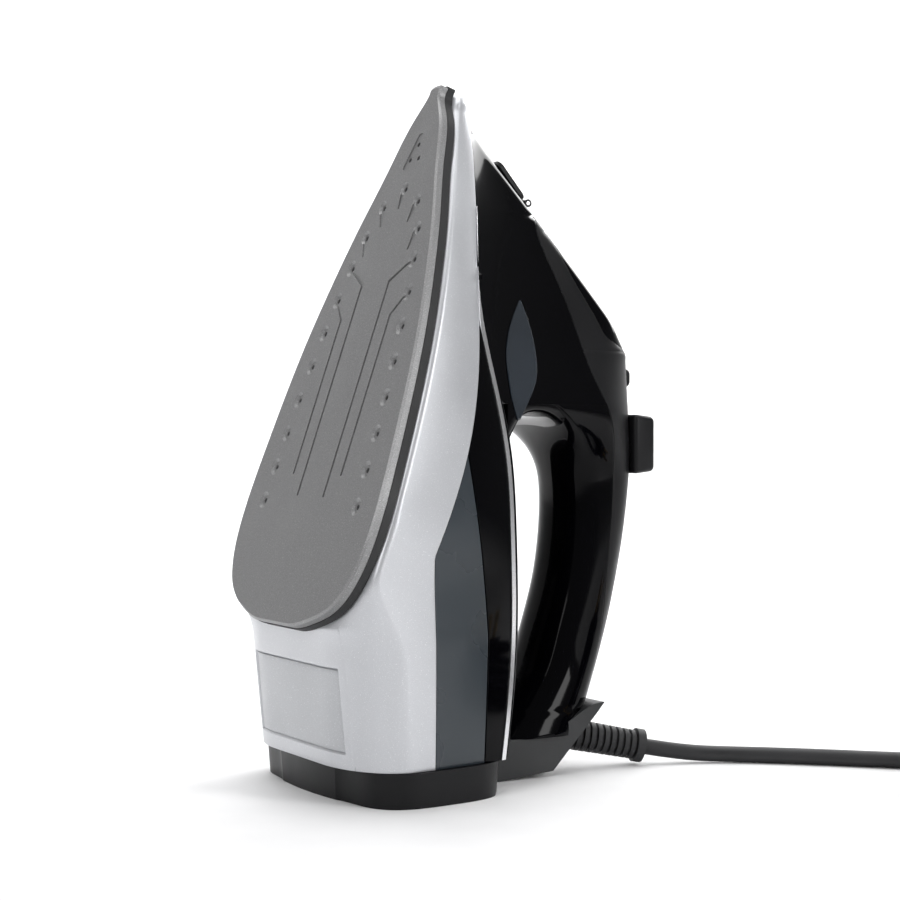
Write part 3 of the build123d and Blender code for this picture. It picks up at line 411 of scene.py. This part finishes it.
@dataclass
class Shape:
    """The iron's outer surfaces as sections over the height, in millimetres."""

    heel_top: float = 69.0
    face_top: float = 118.0
    deck: float = 123.5
    crown: float = 6.0
    rows: int = 150
    belt_x: Line = field(default_factory=lambda: Line([(s[0], s[2]) for s in BODY]))
    belt_half: Line = field(default_factory=lambda: Line([(s[0], s[3]) for s in BODY]))
    front_half: Line = field(default_factory=lambda: Line([(s[0], s[1]) for s in BODY]))
    arm_middle: Line = field(default_factory=lambda: Line([(s[0], s[1]) for s in ARM]))
    arm_outer: Line = field(default_factory=lambda: Line([(s[0], s[2]) for s in ARM]))
    inner: Line = field(default_factory=lambda: Line([(s[0], s[1]) for s in HANDLE]))
    outer: Line = field(default_factory=lambda: Line([(s[0], s[2]) for s in HANDLE]))
    grip_half: Line = field(default_factory=lambda: Line([(s[0], s[3]) for s in HANDLE]))
    panel_upper: Line = field(default_factory=lambda: Line(
        [(97, -2), (137, 15.2), (156, 20.5), (181, 25), (203, 28), (224, 31.8), (247, 36.3), (271, 41.5),
         (291, 46)]))
    band: Line = field(default_factory=lambda: Line([(65, 25.5), (86, 23.8), (110, 20.3), (137, 15.2)]))
    parting: Line = field(default_factory=lambda: Line(
        [(27, 96), (50, 101), (80, 103.5), (105, 106), (127, 107), (150, 104), (168, 95), (185, 88), (207, 80),
         (222, 73.8), (230, 71.6), (235, 72.2), (238.5, 74.2)]))
    cap: Line = field(default_factory=lambda: Line(
        [(232, 80), (213, 88), (201, 95.5), (190.5, 102), (186, 106), (184, 110.5), (180, 123.5)]))

    def close(self, z: float) -> float:
        """How much of its width the nose still has above the last station."""
        return float(np.sqrt(max(0.0, 1 - (max(0.0, z - TIP) / TIP_LONG) ** 2)))

    def front(self, z: float) -> float:
        """X of the body's side towards the soleplate."""
        if z < self.heel_top:
            return -45 + 7 / cos(LEAN) + (self.heel_top - z) * 0.08
        return -45 + (z - self.heel_top) * tan(LEAN) + 7 / cos(LEAN)

    def panel_x(self, z: float) -> float:
        """X of the line between the silver shroud and what is behind it."""
        return float(self.panel_upper(z)) if z > 97 else -0.5 - 1.5 * (z - 8) / 89

    def band_x(self, z: float) -> float:
        """X of the line between the slate panel and the black band."""
        return float(self.band(z)) if z > 65 else 24.5 + (z - 8) / 57

    def corner(self, z: float) -> tuple[float, float]:
        """The body's front corner, a quarter of an ellipse: how deep and how wide it is."""
        sharp = step(60, 92, z)
        return 22 - 19.5 * sharp, 35 - 32.5 * sharp

    def face_half(self, z: float) -> float:
        """Half the width of the shroud's face towards the soleplate, up to where its sides begin."""
        return 44 + (float(self.front_half(z)) - 2.5 - 44) * step(96, self.face_top, z)

    def face_x(self, z: float, y: float) -> float:
        """X of the shroud's face at a height and a distance from the middle plane.

        Args:
            z: the height.
            y: the distance, on either side.

        Returns:
            X.
        """
        deep, wide = self.corner(z)
        past = max(0.0, abs(y) - float(self.front_half(z)) + wide) / wide
        return self.front(z) + deep * (1 - float(np.sqrt(max(0.0, 1 - past * past))))

    def side(self, z: float) -> Path:
        """The body's side section from its front corner to the belt line.

        Args:
            z: the height.

        Returns:
            Points whose X rises, with the distance from the middle plane.
        """
        x0, fade = self.front(z), self.close(z)
        half, belt, back = float(self.front_half(z)) * fade, float(self.belt_x(z)), float(self.belt_half(z)) * fade
        deep, wide = (min(size, half * 0.8) for size in self.corner(z))
        turn = np.linspace(0, pi / 2, 30)
        arc = np.stack([x0 + deep - deep * np.cos(turn), half - wide + wide * np.sin(turn)], axis=1)
        if z < self.face_top:
            start = self.face_half(z)
            arc = np.concatenate([[[self.face_x(z, start), start]], arc[arc[:, 1] > start + 0.01]])
        x = np.linspace(x0 + deep, belt, 90)[1:]
        u = (x - x0 - deep) / (belt - x0 - deep)
        swell = 0.14 * 4 * u * (1 - u) * (half - back)
        y = half + (back - half) * u + swell
        return np.concatenate([arc, np.stack([x, y], axis=1)])

    def saddle(self, z: float) -> Path:
        """The saddle's section from the belt line to its crown."""
        belt, back = float(self.belt_x(z)), float(self.belt_half(z))
        turn = np.linspace(0, pi / 2, 60)
        return np.stack([belt + self.crown * np.sin(turn) ** 0.75, back * np.cos(turn) ** 0.85], axis=1)

    def slope(self, z: float) -> float:
        """X of the straight slope from the nose down to the deck."""
        return 45.2 + (272.8 - z) * 0.84

    def nose_line(self, z: float) -> float:
        """X of the arm's outer face: the deck, then the nose's slope, then the crest of the tip."""
        slope = self.slope(z)
        crest = float(self.belt_x(min(z, TIP))) + 0.4
        return max(min(self.deck, slope), crest)

    def arm_y(self, z: float, x: np.ndarray) -> np.ndarray:
        """The arm's half width before its outer edge is rounded.

        Args:
            z: the height.
            x: positions from the belt line outwards.

        Returns:
            The half width at each position.
        """
        belt, back = float(self.belt_x(z)), float(self.belt_half(z))
        reach = max(self.slope(z), belt + 0.6)
        middle, top = float(self.arm_middle(z)), float(self.arm_outer(z))
        u, knee = (x - belt) / (reach - belt), 0.45
        y = (back * (u - knee) * (u - 1) / knee + middle * u * (u - 1) / (knee * (knee - 1))
             + top * u * (u - knee) / (1 - knee))
        return np.minimum(y, back) * self.close(z)

    def arm(self, z: float) -> Path:
        """The arm's section from the belt line over its side to the middle of its outer face.

        Args:
            z: the height.

        Returns:
            Points whose X rises, with the distance from the middle plane.
        """
        belt, outer = float(self.belt_x(z)), self.nose_line(z)
        soft = 1 - step(176, 196, z)
        roll, power = min(8 + 18 * soft, 0.6 * (outer - belt)), 3.2 - 0.9 * soft
        rolled = outer - roll + roll * np.sin(np.linspace(0, pi / 2, 60))
        x = np.concatenate([np.linspace(belt, outer - roll, 90), rolled[1:]])
        s = np.clip((x - (outer - roll)) / roll, 0, 1)
        return np.stack([x, self.arm_y(z, x) * (1 - s ** power) ** (1 / power)], axis=1)

    def handle(self, z: float) -> Path:
        """The handle's section from the middle of its inner side to the middle of its outer side.

        Args:
            z: the height.

        Returns:
            Points whose X rises, with the distance from the middle plane.
        """
        inner, outer, half = float(self.inner(z)), float(self.outer(z)), float(self.grip_half(z))
        centre, deep = (inner + outer) / 2, (outer - inner) / 2
        x = centre - deep * np.cos(np.linspace(0, pi, 220))
        oval = half * np.clip(1 - np.abs((x - centre) / deep) ** 2.5, 0, 1) ** 0.4
        merge = step(122, NECK, z) ** 1.5
        if not merge:
            return np.stack([x, oval], axis=1)
        s = np.clip((x - (outer - 26)) / 26, 0, 1)
        t = np.clip(((inner + 9) - x) / 9, 0, 1)
        flush = self.arm_y(z, x) * (1 - s ** 2.3) ** (1 / 2.3) * (1 - t ** 2.2) ** (1 / 2.2)
        return np.stack([x, (1 - merge) * oval + merge * flush], axis=1)

    def levels(self, low: float, high: float) -> np.ndarray:
        """Heights of a grid's rows, closer together where the nose closes.

        Args:
            low: the lowest.
            high: the highest.

        Returns:
            The heights.
        """
        count = max(8, int((high - low) / 1.8))
        levels = np.linspace(low, min(high, TIP), count)
        if high > TIP:
            levels = np.concatenate([levels, TIP + TIP_LONG * np.sin(np.linspace(0, pi / 2, 10))[1:]])
        return levels


def at_height(path: Path, z: float, side: int) -> Row:
    """A section's points as points in space on one side, -1 or 1, of the iron."""
    return np.stack([path[:, 0], side * path[:, 1], np.full(len(path), z)], axis=1)


def both_ways(path: Path, z: float) -> Row:
    """A section that ends on the middle plane, joined to its twin."""
    near, far = at_height(path, z, -1), at_height(path, z, 1)
    return np.concatenate([near, far[::-1][1:]])


@dataclass
class BodyShells:
    """The lower body: silver shroud, slate panels, black band, a thin chrome strip whose bright line is partly a real
    trim and partly a painted highlight on the shell's edge, and saddle.
    """

    shape: Shape
    gap: float = 0.22
    count: int = 44
    label: tuple[float, float, float, float] = (40, 20, 54, 1.2)

    def inside(self, z: float) -> float:
        """X well inside the body."""
        return (self.shape.front(z) + float(self.shape.belt_x(z))) / 2

    def strip(self, low: float, high: float, left: Callable[[float], float], right: Callable[[float], float],
              proud: float = 0.0) -> list[list[Row]]:
        """Grids on both sides of the body between two heights and two lines.

        Args:
            low: lowest height.
            high: highest height.
            left: X where the strip starts, by height.
            right: X where it ends, by height.
            proud: how far it stands out from the body.

        Returns:
            The two grids.
        """
        grids = []
        for side in (-1, 1):
            rows = []
            for z in self.shape.levels(low, high):
                path = self.shape.side(z)
                path = resample(between(path, left(z), max(right(z), left(z) + 0.02)), self.count)
                path[:, 1] += proud
                rows.append(at_height(path, z, side))
            grids.append(rows)
        return grids

    def shroud(self) -> bpy.types.Object:
        """The silver shroud with the heel's front face and its label recess.

        Returns:
            The object.
        """
        shape = self.shape
        grids = self.strip(BOTTOM, TIP + TIP_LONG, lambda z: BEFORE,
                           lambda z: min(shape.panel_x(z) - self.gap, float(shape.belt_x(z)) - 0.05))
        wide, low, high, deep = self.label
        bevel = 0.8
        across = [-wide, -wide + bevel, *np.linspace(4 - wide, wide - 4, 15), wide - bevel, wide]
        rows = []
        recess = (low, low + bevel, high - bevel, high)
        for z in sorted({*shape.levels(BOTTOM, shape.face_top), shape.heel_top, *recess}):
            outside = [wide + (shape.face_half(z) - wide) * part for part in (0.25, 0.6, 1.0)]
            row = []
            for y in [*[-y for y in outside[::-1]], *across, *outside]:
                depth = min(wide - abs(y), z - low, high - z)
                row.append((shape.face_x(z, y) + deep * min(1.0, max(0.0, depth / bevel)), y, z))
            rows.append(np.array(row))
        tip = []
        for z in shape.levels(270, TIP + TIP_LONG):
            turn = np.linspace(-pi / 2, pi / 2, 21)
            belt, back = float(shape.belt_x(z)) - 0.05, float(shape.belt_half(z)) * shape.close(z)
            x = belt + 1.2 * shape.close(z) * np.cos(turn)
            tip.append(np.stack([x, back * np.sin(turn), np.full(len(turn), z)], axis=1))
        return sheet_object("shroud", [*grids, rows, tip], self.inside, 2.2, edge=0.35)

    def label_patch(self) -> bpy.types.Object:
        """The blank label that lies in the recess and follows the face's curve.

        Returns:
            The object.
        """
        wide, low, high, deep = self.label
        across = np.linspace(1 - wide, wide - 1, 40)
        rows = []
        for z in np.linspace(low + 1.0, high - 1.0, 18):
            rows.append(np.array([(self.shape.face_x(z, y) + deep * 0.55, y, z) for y in across]))
        return sheet_object("label_patch", [rows], self.inside, 0.4, edge=0.12)

    def build(self) -> None:
        """Makes and dresses the body's shells."""
        shape, gap = self.shape, self.gap
        dress(self.shroud(), SILVER, "root", "lower_shroud")
        dress(self.label_patch(), LABEL, "root", "label_plate")
        panels = self.strip(BOTTOM, 136.2, lambda z: shape.panel_x(z) + gap, lambda z: shape.band_x(z) - gap, -0.25)
        for grid, name in zip(panels, ("left_side_panel", "right_side_panel")):
            dress(sheet_object(f"{name}_skin", [grid], self.inside, 2.0, edge=0.5), SLATE, "root", name)
        band = self.strip(BOTTOM, 236, lambda z: (shape.band_x(z) if z < 137 else shape.panel_x(z)) + gap,
                          lambda z: float(shape.belt_x(z)) - 2.2)
        dress(sheet_object("tank_band_skin", band, self.inside, 2.0, edge=0.3), PIANO, "root", "tank_band")
        # A thin chrome strip along the belt line: partly a real trim, partly a painted highlight standing in for the
        # light caught on the shell's rounded edge.
        chrome = self.strip(BOTTOM, 238, lambda z: max(float(shape.belt_x(z)) - 2.15, shape.panel_x(z) + 0.1),
                            lambda z: float(shape.belt_x(z)) - 0.02, 0.6)
        dress(sheet_object("trim_and_highlight_line", chrome, self.inside, 1.2, edge=0.25), CHROME, "root", "chrome_trim")
        saddle = [both_ways(resample(shape.saddle(z), 40), z) for z in shape.levels(BOTTOM, NECK + 1)]
        dress(sheet_object("saddle_skin", [saddle], self.inside, 1.8), PIANO, "root", "saddle")


@dataclass
class Handle:
    """The front arm and the handle: gloss shell, satin grip, front cap and smoked windows."""

    shape: Shape
    gap: float = 0.2
    count: int = 60
    deck_low: float = 119.6
    key_top: float = 131.2

    def inside(self, z: float) -> float:
        """X well inside the handle or the arm."""
        if z < NECK:
            return (float(self.shape.inner(z)) + float(self.shape.outer(z))) / 2
        return (float(self.shape.belt_x(z)) + self.shape.nose_line(z)) / 2

    def grip(self) -> bpy.types.Object:
        """The satin outer half of the handle with its key deck.

        Returns:
            The object.
        """
        shape, lower, top = self.shape, [], []
        for z in shape.levels(28, 180.6):
            path = shape.handle(z) if z < NECK else shape.arm(z)
            outer = between(path, float(shape.parting(z)) + self.gap, BEYOND)
            lower.append(both_ways(resample(outer, self.count), z))
        upper = []
        for side in (-1, 1):
            part = []
            for z in shape.levels(180.6, 231.8):
                low = float(shape.parting(z)) + self.gap
                high = max(float(shape.cap(z)) - self.gap, low + 0.3)
                part.append(at_height(resample(between(shape.arm(z), low, high), self.count), z, side))
            upper.append(part)
        for z in shape.levels(231.8, 237.6):
            outer = between(shape.arm(z), float(shape.parting(z)) + self.gap, BEYOND)
            top.append(both_ways(resample(outer, self.count), z))
        return sheet_object("handle_grip_skin", [lower, *upper, top], self.inside, 1.8, edge=0.35)

    def shell(self) -> bpy.types.Object:
        """The gloss inner half of the handle and the arm up to the nose.

        Returns:
            The object.
        """
        shape = self.shape
        inner = []
        for z in shape.levels(17, NECK):
            path = between(shape.handle(z), BEFORE, float(shape.parting(z)) if z > 27 else BEYOND)
            path = resample(path, self.count)[::-1]
            inner.append(both_ways(path, z))
        sides = []
        for side in (-1, 1):
            part = []
            for z in shape.levels(NECK, NOSE_LOW):
                path = between(shape.arm(z), BEFORE, float(shape.parting(z)))
                part.append(at_height(resample(path, self.count), z, side))
            sides.append(part)
        nose = [both_ways(resample(shape.arm(z), self.count), z) for z in shape.levels(NOSE_LOW, ARM_TOP)]
        return sheet_object("handle_shell_skin", [inner, *sides, nose], self.inside, 1.8, edge=0.3)

    def arch(self) -> bpy.types.Object:
        """The rounded ceiling of the hand opening, between the saddle and the handle.

        Returns:
            The object.
        """
        shape = self.shape
        line = Line([(0, 76), (1, 68), (2, 61), (3, 54.5), (4, 49), (5, 45.2), (6, 41.8), (7, 39.4)])
        ceiling = Line([(0, 147.5), (1, 151.2), (2, 152.9), (3, 152.6), (4, 149.8), (5, 144.2), (6, 137), (7, 129)])
        turn = np.linspace(-pi / 2, pi / 2, 61)
        across = np.sign(turn) * np.abs(np.sin(turn)) ** 0.4
        rows = []
        for part in np.linspace(0, 7, 60):
            x, z = float(line(part)), float(ceiling(part))
            half = float(shape.arm_y(NECK, np.array([x]))[0]) - 1.3 * step(60, 76, x)
            rise = (NECK + 0.6 - z) * (1 - np.cos(turn) ** 0.4)
            rows.append(np.stack([np.full(len(turn), x), half * across, z + rise], axis=1))
        return sheet_object("opening_arch", [rows], lambda z: 20 if z < NECK else 50, 1.5, edge=0)

    def front_cap(self) -> bpy.types.Object:
        """The cap on the lower end of the nose's slope, with its lip above the keys.

        Returns:
            The object.
        """
        shape, rows = self.shape, []
        for z in shape.levels(CAP_LOW, CAP_HIGH):
            path = shape.arm(z)
            low = min(float(shape.cap(z)) + self.gap, path[-1, 0] - 0.15)
            rows.append(both_ways(resample(between(path, low, BEYOND), 40), z))
        return sheet_object("front_cap_skin", [rows], self.inside, 1.6, edge=0.4)

    def windows(self) -> list[bpy.types.Object]:
        """The leaf-shaped smoked windows on the arm's sides.

        Returns:
            The left and the right pane.
        """
        low, high = 150.5, 200
        rear = Line([(low, 45.6), (157.5, 42.6), (166, 41.2), (174, 40.8), (184, 43), (192, 47.4), (high, 53.4)])
        front = Line([(low, 46.6), (157.5, 51.5), (166, 57.6), (174, 59.6), (184, 58.9), (192, 57), (high, 53.9)])
        panes = []
        for side, name in ((-1, "left_window_pane"), (1, "right_window_pane")):
            rows = []
            for z in np.linspace(low, high, 58):
                path = resample(between(self.shape.arm(max(z, NECK)), float(rear(z)), float(front(z))), 24)
                path[:, 1] += 0.5
                rows.append(at_height(path, z, side))
            panes.append(sheet_object(name, [rows], self.inside, 0.8, edge=0.25))
        return panes

    def block(self, name: str, low: tuple[float, float, float], high: tuple[float, float, float],
              taper: float, radius: float) -> bpy.types.Object:
        """A rounded key: a box that narrows outwards, with soft edges.

        Args:
            name: the piece's name.
            low: its lowest corner in millimetres.
            high: its highest corner.
            taper: how much narrower its outer face is on each side.
            radius: the radius of its edges.

        Returns:
            The object.
        """
        bm = bmesh.new()
        corners = {}
        for x in (0, 1):
            for y in (0, 1):
                for z in (0, 1):
                    cut = taper * x
                    place = ((low[0], high[0])[x], (low[1] + cut, high[1] - cut)[y], (low[2] + cut, high[2] - cut)[z])
                    corners[x, y, z] = bm.verts.new(Vector(place) * MM)
        for axis in range(3):
            for end in (0, 1):
                loop = []
                for a, b in ((0, 0), (0, 1), (1, 1), (1, 0)):
                    key = [a, b]
                    key.insert(axis, end)
                    loop.append(corners[tuple(key)])
                bm.faces.new(loop)
        bmesh.ops.recalc_face_normals(bm, faces=bm.faces)
        mesh = bpy.data.meshes.new(name)
        bm.to_mesh(mesh)
        bm.free()
        piece = bpy.data.objects.new(name, mesh)
        bpy.context.scene.collection.objects.link(piece)
        soft = piece.modifiers.new("edges", "BEVEL")
        soft.width, soft.segments, soft.limit_method = radius * MM, 5, "NONE"
        return settle(piece)

    def keys(self) -> None:
        """The steam and spray keys on the deck, side by side."""
        for body, node, side in (("steam_key", "steam_button", 1), ("spray_key", "spray_button", -1)):
            box_low, box_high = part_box(node)
            y_low, y_high = sorted((side * 0.6, side * 17.6))
            key = self.block(f"{body}_cap", (self.deck_low, y_low, box_low.z / MM + 0.3),
                             (self.key_top, y_high, box_high.z / MM + 2.5), 1.2, 2.2)
            dress(key, SATIN, body, node)

    def build(self) -> None:
        """Makes and dresses the handle and the arm."""
        self.keys()
        dress(self.grip(), SATIN, "root", "handle_grip")
        dress(self.shell(), PIANO, "root", "handle_shell")
        dress(self.arch(), PIANO, "root")
        dress(self.front_cap(), PIANO, "root", "front_cap")
        for pane, node in zip(self.windows(), ("left_window", "right_window")):
            dress(pane, SMOKED, "root", node)


@dataclass
class DialRibs:
    """The finger ribs around the rim of the temperature dial, laid out by geometry nodes."""

    count: int = 40
    thick: float = 1.5
    width: float = 1.1
    sunk: float = 0.4
    back: float = 0.6
    soft: float = 0.2

    def tree(self) -> bpy.types.GeometryNodeTree:
        """The node tree that sets blocks round a circle on the dial's axis.

        Returns:
            The tree, with sockets for the number of ribs, the circle and the block.
        """
        made = bpy.data.node_groups.new("dial_ribs", "GeometryNodeTree")
        sockets = {"Count": "Int", "Radius": "Float", "Size": "Vector", "Centre": "Vector", "Finish": "Material"}
        for name, kind in sockets.items():
            made.interface.new_socket(name=name, in_out="INPUT", socket_type=f"NodeSocket{kind}")
        made.interface.new_socket(name="Geometry", in_out="OUTPUT", socket_type="NodeSocketGeometry")
        given, out = made.nodes.new("NodeGroupInput"), made.nodes.new("NodeGroupOutput")
        circle, block = made.nodes.new("GeometryNodeMeshCircle"), made.nodes.new("GeometryNodeMeshCube")
        index, turn = made.nodes.new("GeometryNodeInputIndex"), made.nodes.new("ShaderNodeMath")
        share, angle = made.nodes.new("ShaderNodeMath"), made.nodes.new("ShaderNodeCombineXYZ")
        set_out, place = made.nodes.new("GeometryNodeInstanceOnPoints"), made.nodes.new("GeometryNodeTransform")
        realize, finish = made.nodes.new("GeometryNodeRealizeInstances"), made.nodes.new("GeometryNodeSetMaterial")
        share.operation, turn.operation = "DIVIDE", "MULTIPLY"
        turn.inputs[1].default_value = 2 * pi
        place.inputs["Rotation"].default_value = (0, pi / 2, 0)
        for source, target in (
                (given.outputs["Count"], circle.inputs["Vertices"]),
                (given.outputs["Radius"], circle.inputs["Radius"]),
                (given.outputs["Size"], block.inputs["Size"]),
                (index.outputs["Index"], share.inputs[0]),
                (given.outputs["Count"], share.inputs[1]),
                (share.outputs[0], turn.inputs[0]),
                (turn.outputs[0], angle.inputs["Z"]),
                (circle.outputs["Mesh"], set_out.inputs["Points"]),
                (block.outputs["Mesh"], set_out.inputs["Instance"]),
                (angle.outputs["Vector"], set_out.inputs["Rotation"]),
                (set_out.outputs["Instances"], place.inputs["Geometry"]),
                (given.outputs["Centre"], place.inputs["Translation"]),
                (place.outputs["Geometry"], realize.inputs["Geometry"]),
                (realize.outputs["Geometry"], finish.inputs["Geometry"]),
                (given.outputs["Finish"], finish.inputs["Material"]),
                (finish.outputs["Geometry"], out.inputs["Geometry"])):
            made.links.new(source, target)
        return made

    def build(self) -> None:
        """Makes the ribs around the dial and dresses them."""
        low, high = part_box("temperature_dial")
        centre, radius = (low + high) / 2, (high.z - low.z) / 2
        deep = (high.x - low.x) / 2
        piece = bpy.data.objects.new("dial_ribs", bpy.data.meshes.new("dial_ribs"))
        bpy.context.scene.collection.objects.link(piece)
        ring = piece.modifiers.new("ribs", "NODES")
        ring.node_group = self.tree()
        wanted = {"Count": self.count, "Radius": radius - self.sunk * MM,
                  "Size": (self.thick * MM, self.width * MM, deep),
                  "Centre": (high.x - deep / 2 - self.back * MM, centre.y, centre.z), "Finish": SATIN.material()}
        for socket in ring.node_group.interface.items_tree:
            if socket.in_out == "INPUT":
                ring[socket.identifier] = wanted[socket.name]
        soft = piece.modifiers.new("soft", "BEVEL")
        soft.width, soft.segments = self.soft * MM, 2
        dress(settle(piece), SATIN, "dial")


@dataclass
class MainsCord:
    """The mains lead: out of the guard, along the floor and into a stored coil that ends at the plug."""

    thick: float = 7.0
    length: float = 1.66
    centre: tuple[float, float] = (224.6, -145.8)
    outer_turn: float = 45.6
    pitch: float = 7.15
    level_turns: float = 2.0
    climb_turns: float = 0.3
    top_turns: float = 1.32
    start_angle: float = 41.0
    per_turn: int = 16
    route: tuple[tuple[float, float, float], ...] = (
        (126, -13, 8), (143.9, -18.3, 4.4), (163.3, -28.6, 3.6), (182.2, -43.4, 3.6), (200.5, -60.6, 3.6),
        (219, -78.2, 3.6), (237.5, -96.5, 3.6))
    tail: tuple[tuple[float, float, float], ...] = (
        (222, -99.6, 25), (237.5, -103.8, 28.4), (246.8, -114.5, 30.4), (248.1, -122, 30.8), (248.1, -130, 30.8))

    def points(self) -> list[tuple[float, float, float]]:
        """Control points of the whole lead in millimetres.

        Returns:
            The route's points, the coil's turns and the tail's points.
        """
        points = list(self.route)
        second = self.level_turns + self.climb_turns
        third = second + self.level_turns + self.climb_turns
        floor_level, layer = 3.6, 7.15
        for number in range(int((third + self.top_turns) * self.per_turn)):
            turned = number / self.per_turn
            angle = radians(self.start_angle - 360 * turned)
            inward = min(turned, self.level_turns)
            outward = min(max(0.0, turned - second), self.level_turns)
            radius = self.outer_turn - self.pitch * (inward - outward)
            level = (floor_level + layer * step(self.level_turns, second, turned)
                     + layer * step(second + self.level_turns, third, turned))
            points.append((self.centre[0] + radius * cos(angle), self.centre[1] + radius * sin(angle), level))
        return points + list(self.tail)

    def build(self) -> None:
        data = bpy.data.curves.new("mains_lead", "CURVE")
        data.dimensions = "3D"
        data.bevel_depth = self.thick / 2 * MM
        data.bevel_resolution = 6
        data.resolution_u = 8
        data.use_fill_caps = True
        spline = data.splines.new("NURBS")
        points = self.points()
        spline.points.add(len(points) - 1)
        for slot, point in zip(spline.points, points):
            slot.co = (*[v * MM for v in point], 1)
        spline.order_u = 3
        spline.use_endpoint_u = True
        lead = bpy.data.objects.new("mains_lead", data)
        bpy.context.scene.collection.objects.link(lead)
        data.materials.append(CABLE.material())
        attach(lead, "cord")
        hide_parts("mains_cord", "cord_coil", "plug_tail")
        log.info("mains_lead: %d control points", len(points))


class CarriedNodes:
    """Frame nodes that are shown as they are, with the finishes that the record names."""

    def build(self) -> None:
        """Dresses every frame node with the finish that the record names for it."""
        slots = {part["node"]: part["material_slot"] for part in frame["record"]["subparts"]}
        for name, node in frame["nodes"].items():
            finish = FINISHES[slots[name]]
            node.data.materials.clear()
            node.data.materials.append(finish.material())
            log.info("%s: %s", name, finish.name)


@dataclass
class Studio:
    """Pale floor, soft light and the camera."""

    eye: tuple[float, float, float] = (-0.3718, -0.7390, 0.1460)
    look: tuple[float, float, float] = (0.4843, 0.8748, -0.0094)
    lens: float = 80.0

    def softbox(self, name: str, place: tuple[float, float, float], aim: tuple[float, float, float],
                size: tuple[float, float], power: float) -> None:
        """An area light that faces a point.

        Args:
            name: its name.
            place: where it stands.
            aim: the point that it faces.
            size: its width and height.
            power: its power in watts.
        """
        light = bpy.data.lights.new(name, "AREA")
        light.shape = "RECTANGLE"
        light.size, light.size_y = size
        light.energy = power
        stand = bpy.data.objects.new(name, light)
        stand.location = place
        stand.rotation_euler = (Vector(aim) - Vector(place)).to_track_quat("-Z", "Y").to_euler()
        bpy.context.scene.collection.objects.link(stand)

    def build(self) -> None:
        """Sets up the floor, the lights, the world and the camera."""
        bend, cove, half = 1.6, 0.8, 6.0
        curve = [(bend + cove * sin(a), cove - cove * cos(a)) for a in np.linspace(0, pi / 2, 16)[1:]]
        profile = [(-half, 0.0), (bend, 0.0), *curve, (bend + cove, 4.0)]
        verts, faces = [], []
        for run, rise in profile:
            for across in (-half, half):
                verts.append((run * 0.484 + across * 0.875, run * 0.875 - across * 0.484, rise))
        for i in range(len(profile) - 1):
            faces.append((2 * i, 2 * i + 1, 2 * i + 3, 2 * i + 2))
        mesh = bpy.data.meshes.new("studio_floor")
        mesh.from_pydata(verts, [], faces)
        mesh.shade_smooth()
        mesh.materials.append(FLOOR.material())
        floor = bpy.data.objects.new("studio_floor", mesh)
        bpy.context.scene.collection.objects.link(floor)
        world = bpy.data.worlds.new("studio")
        world.use_nodes = True
        background = world.node_tree.nodes["Background"]
        background.inputs["Color"].default_value = (1, 1, 1, 1)
        background.inputs["Strength"].default_value = 0.22
        bpy.context.scene.world = world
        bpy.context.scene.view_settings.view_transform = "Standard"
        self.softbox("key", (-1.5, -0.9, 1.1), (0, 0, 0.15), (1.0, 1.0), 11)
        self.softbox("side", (0.75, -1.35, 0.75), (0.04, 0, 0.14), (0.28, 1.2), 10)
        self.softbox("top", (0.2, 0.4, 2.2), (0.2, 0.5, 0.0), (2.4, 2.4), 42)
        self.softbox("wall", (0.3, 0.6, 1.6), (1.3, 2.2, 0.6), (2.2, 1.2), 46)
        self.softbox("rear", (1.3, 0.6, 0.8), (0.1, 0, 0.15), (0.7, 0.7), 9)
        lens = bpy.data.cameras.new("camera")
        lens.lens, lens.sensor_width = self.lens, 36
        camera = bpy.data.objects.new("camera", lens)
        camera.location = self.eye
        camera.rotation_euler = Vector(self.look).to_track_quat("-Z", "Y").to_euler()
        bpy.context.scene.collection.objects.link(camera)
        bpy.context.scene.camera = camera


def main() -> None:
    """Builds the iron piece by piece on the frame."""
    logging.basicConfig(level=logging.INFO, format="%(name)s %(message)s")
    shape = Shape()
    Studio().build()
    CarriedNodes().build()
    MainsCord().build()
    DialRibs().build()
    BodyShells(shape).build()
    Handle(shape).build()


if __name__ == "__main__":
    main()
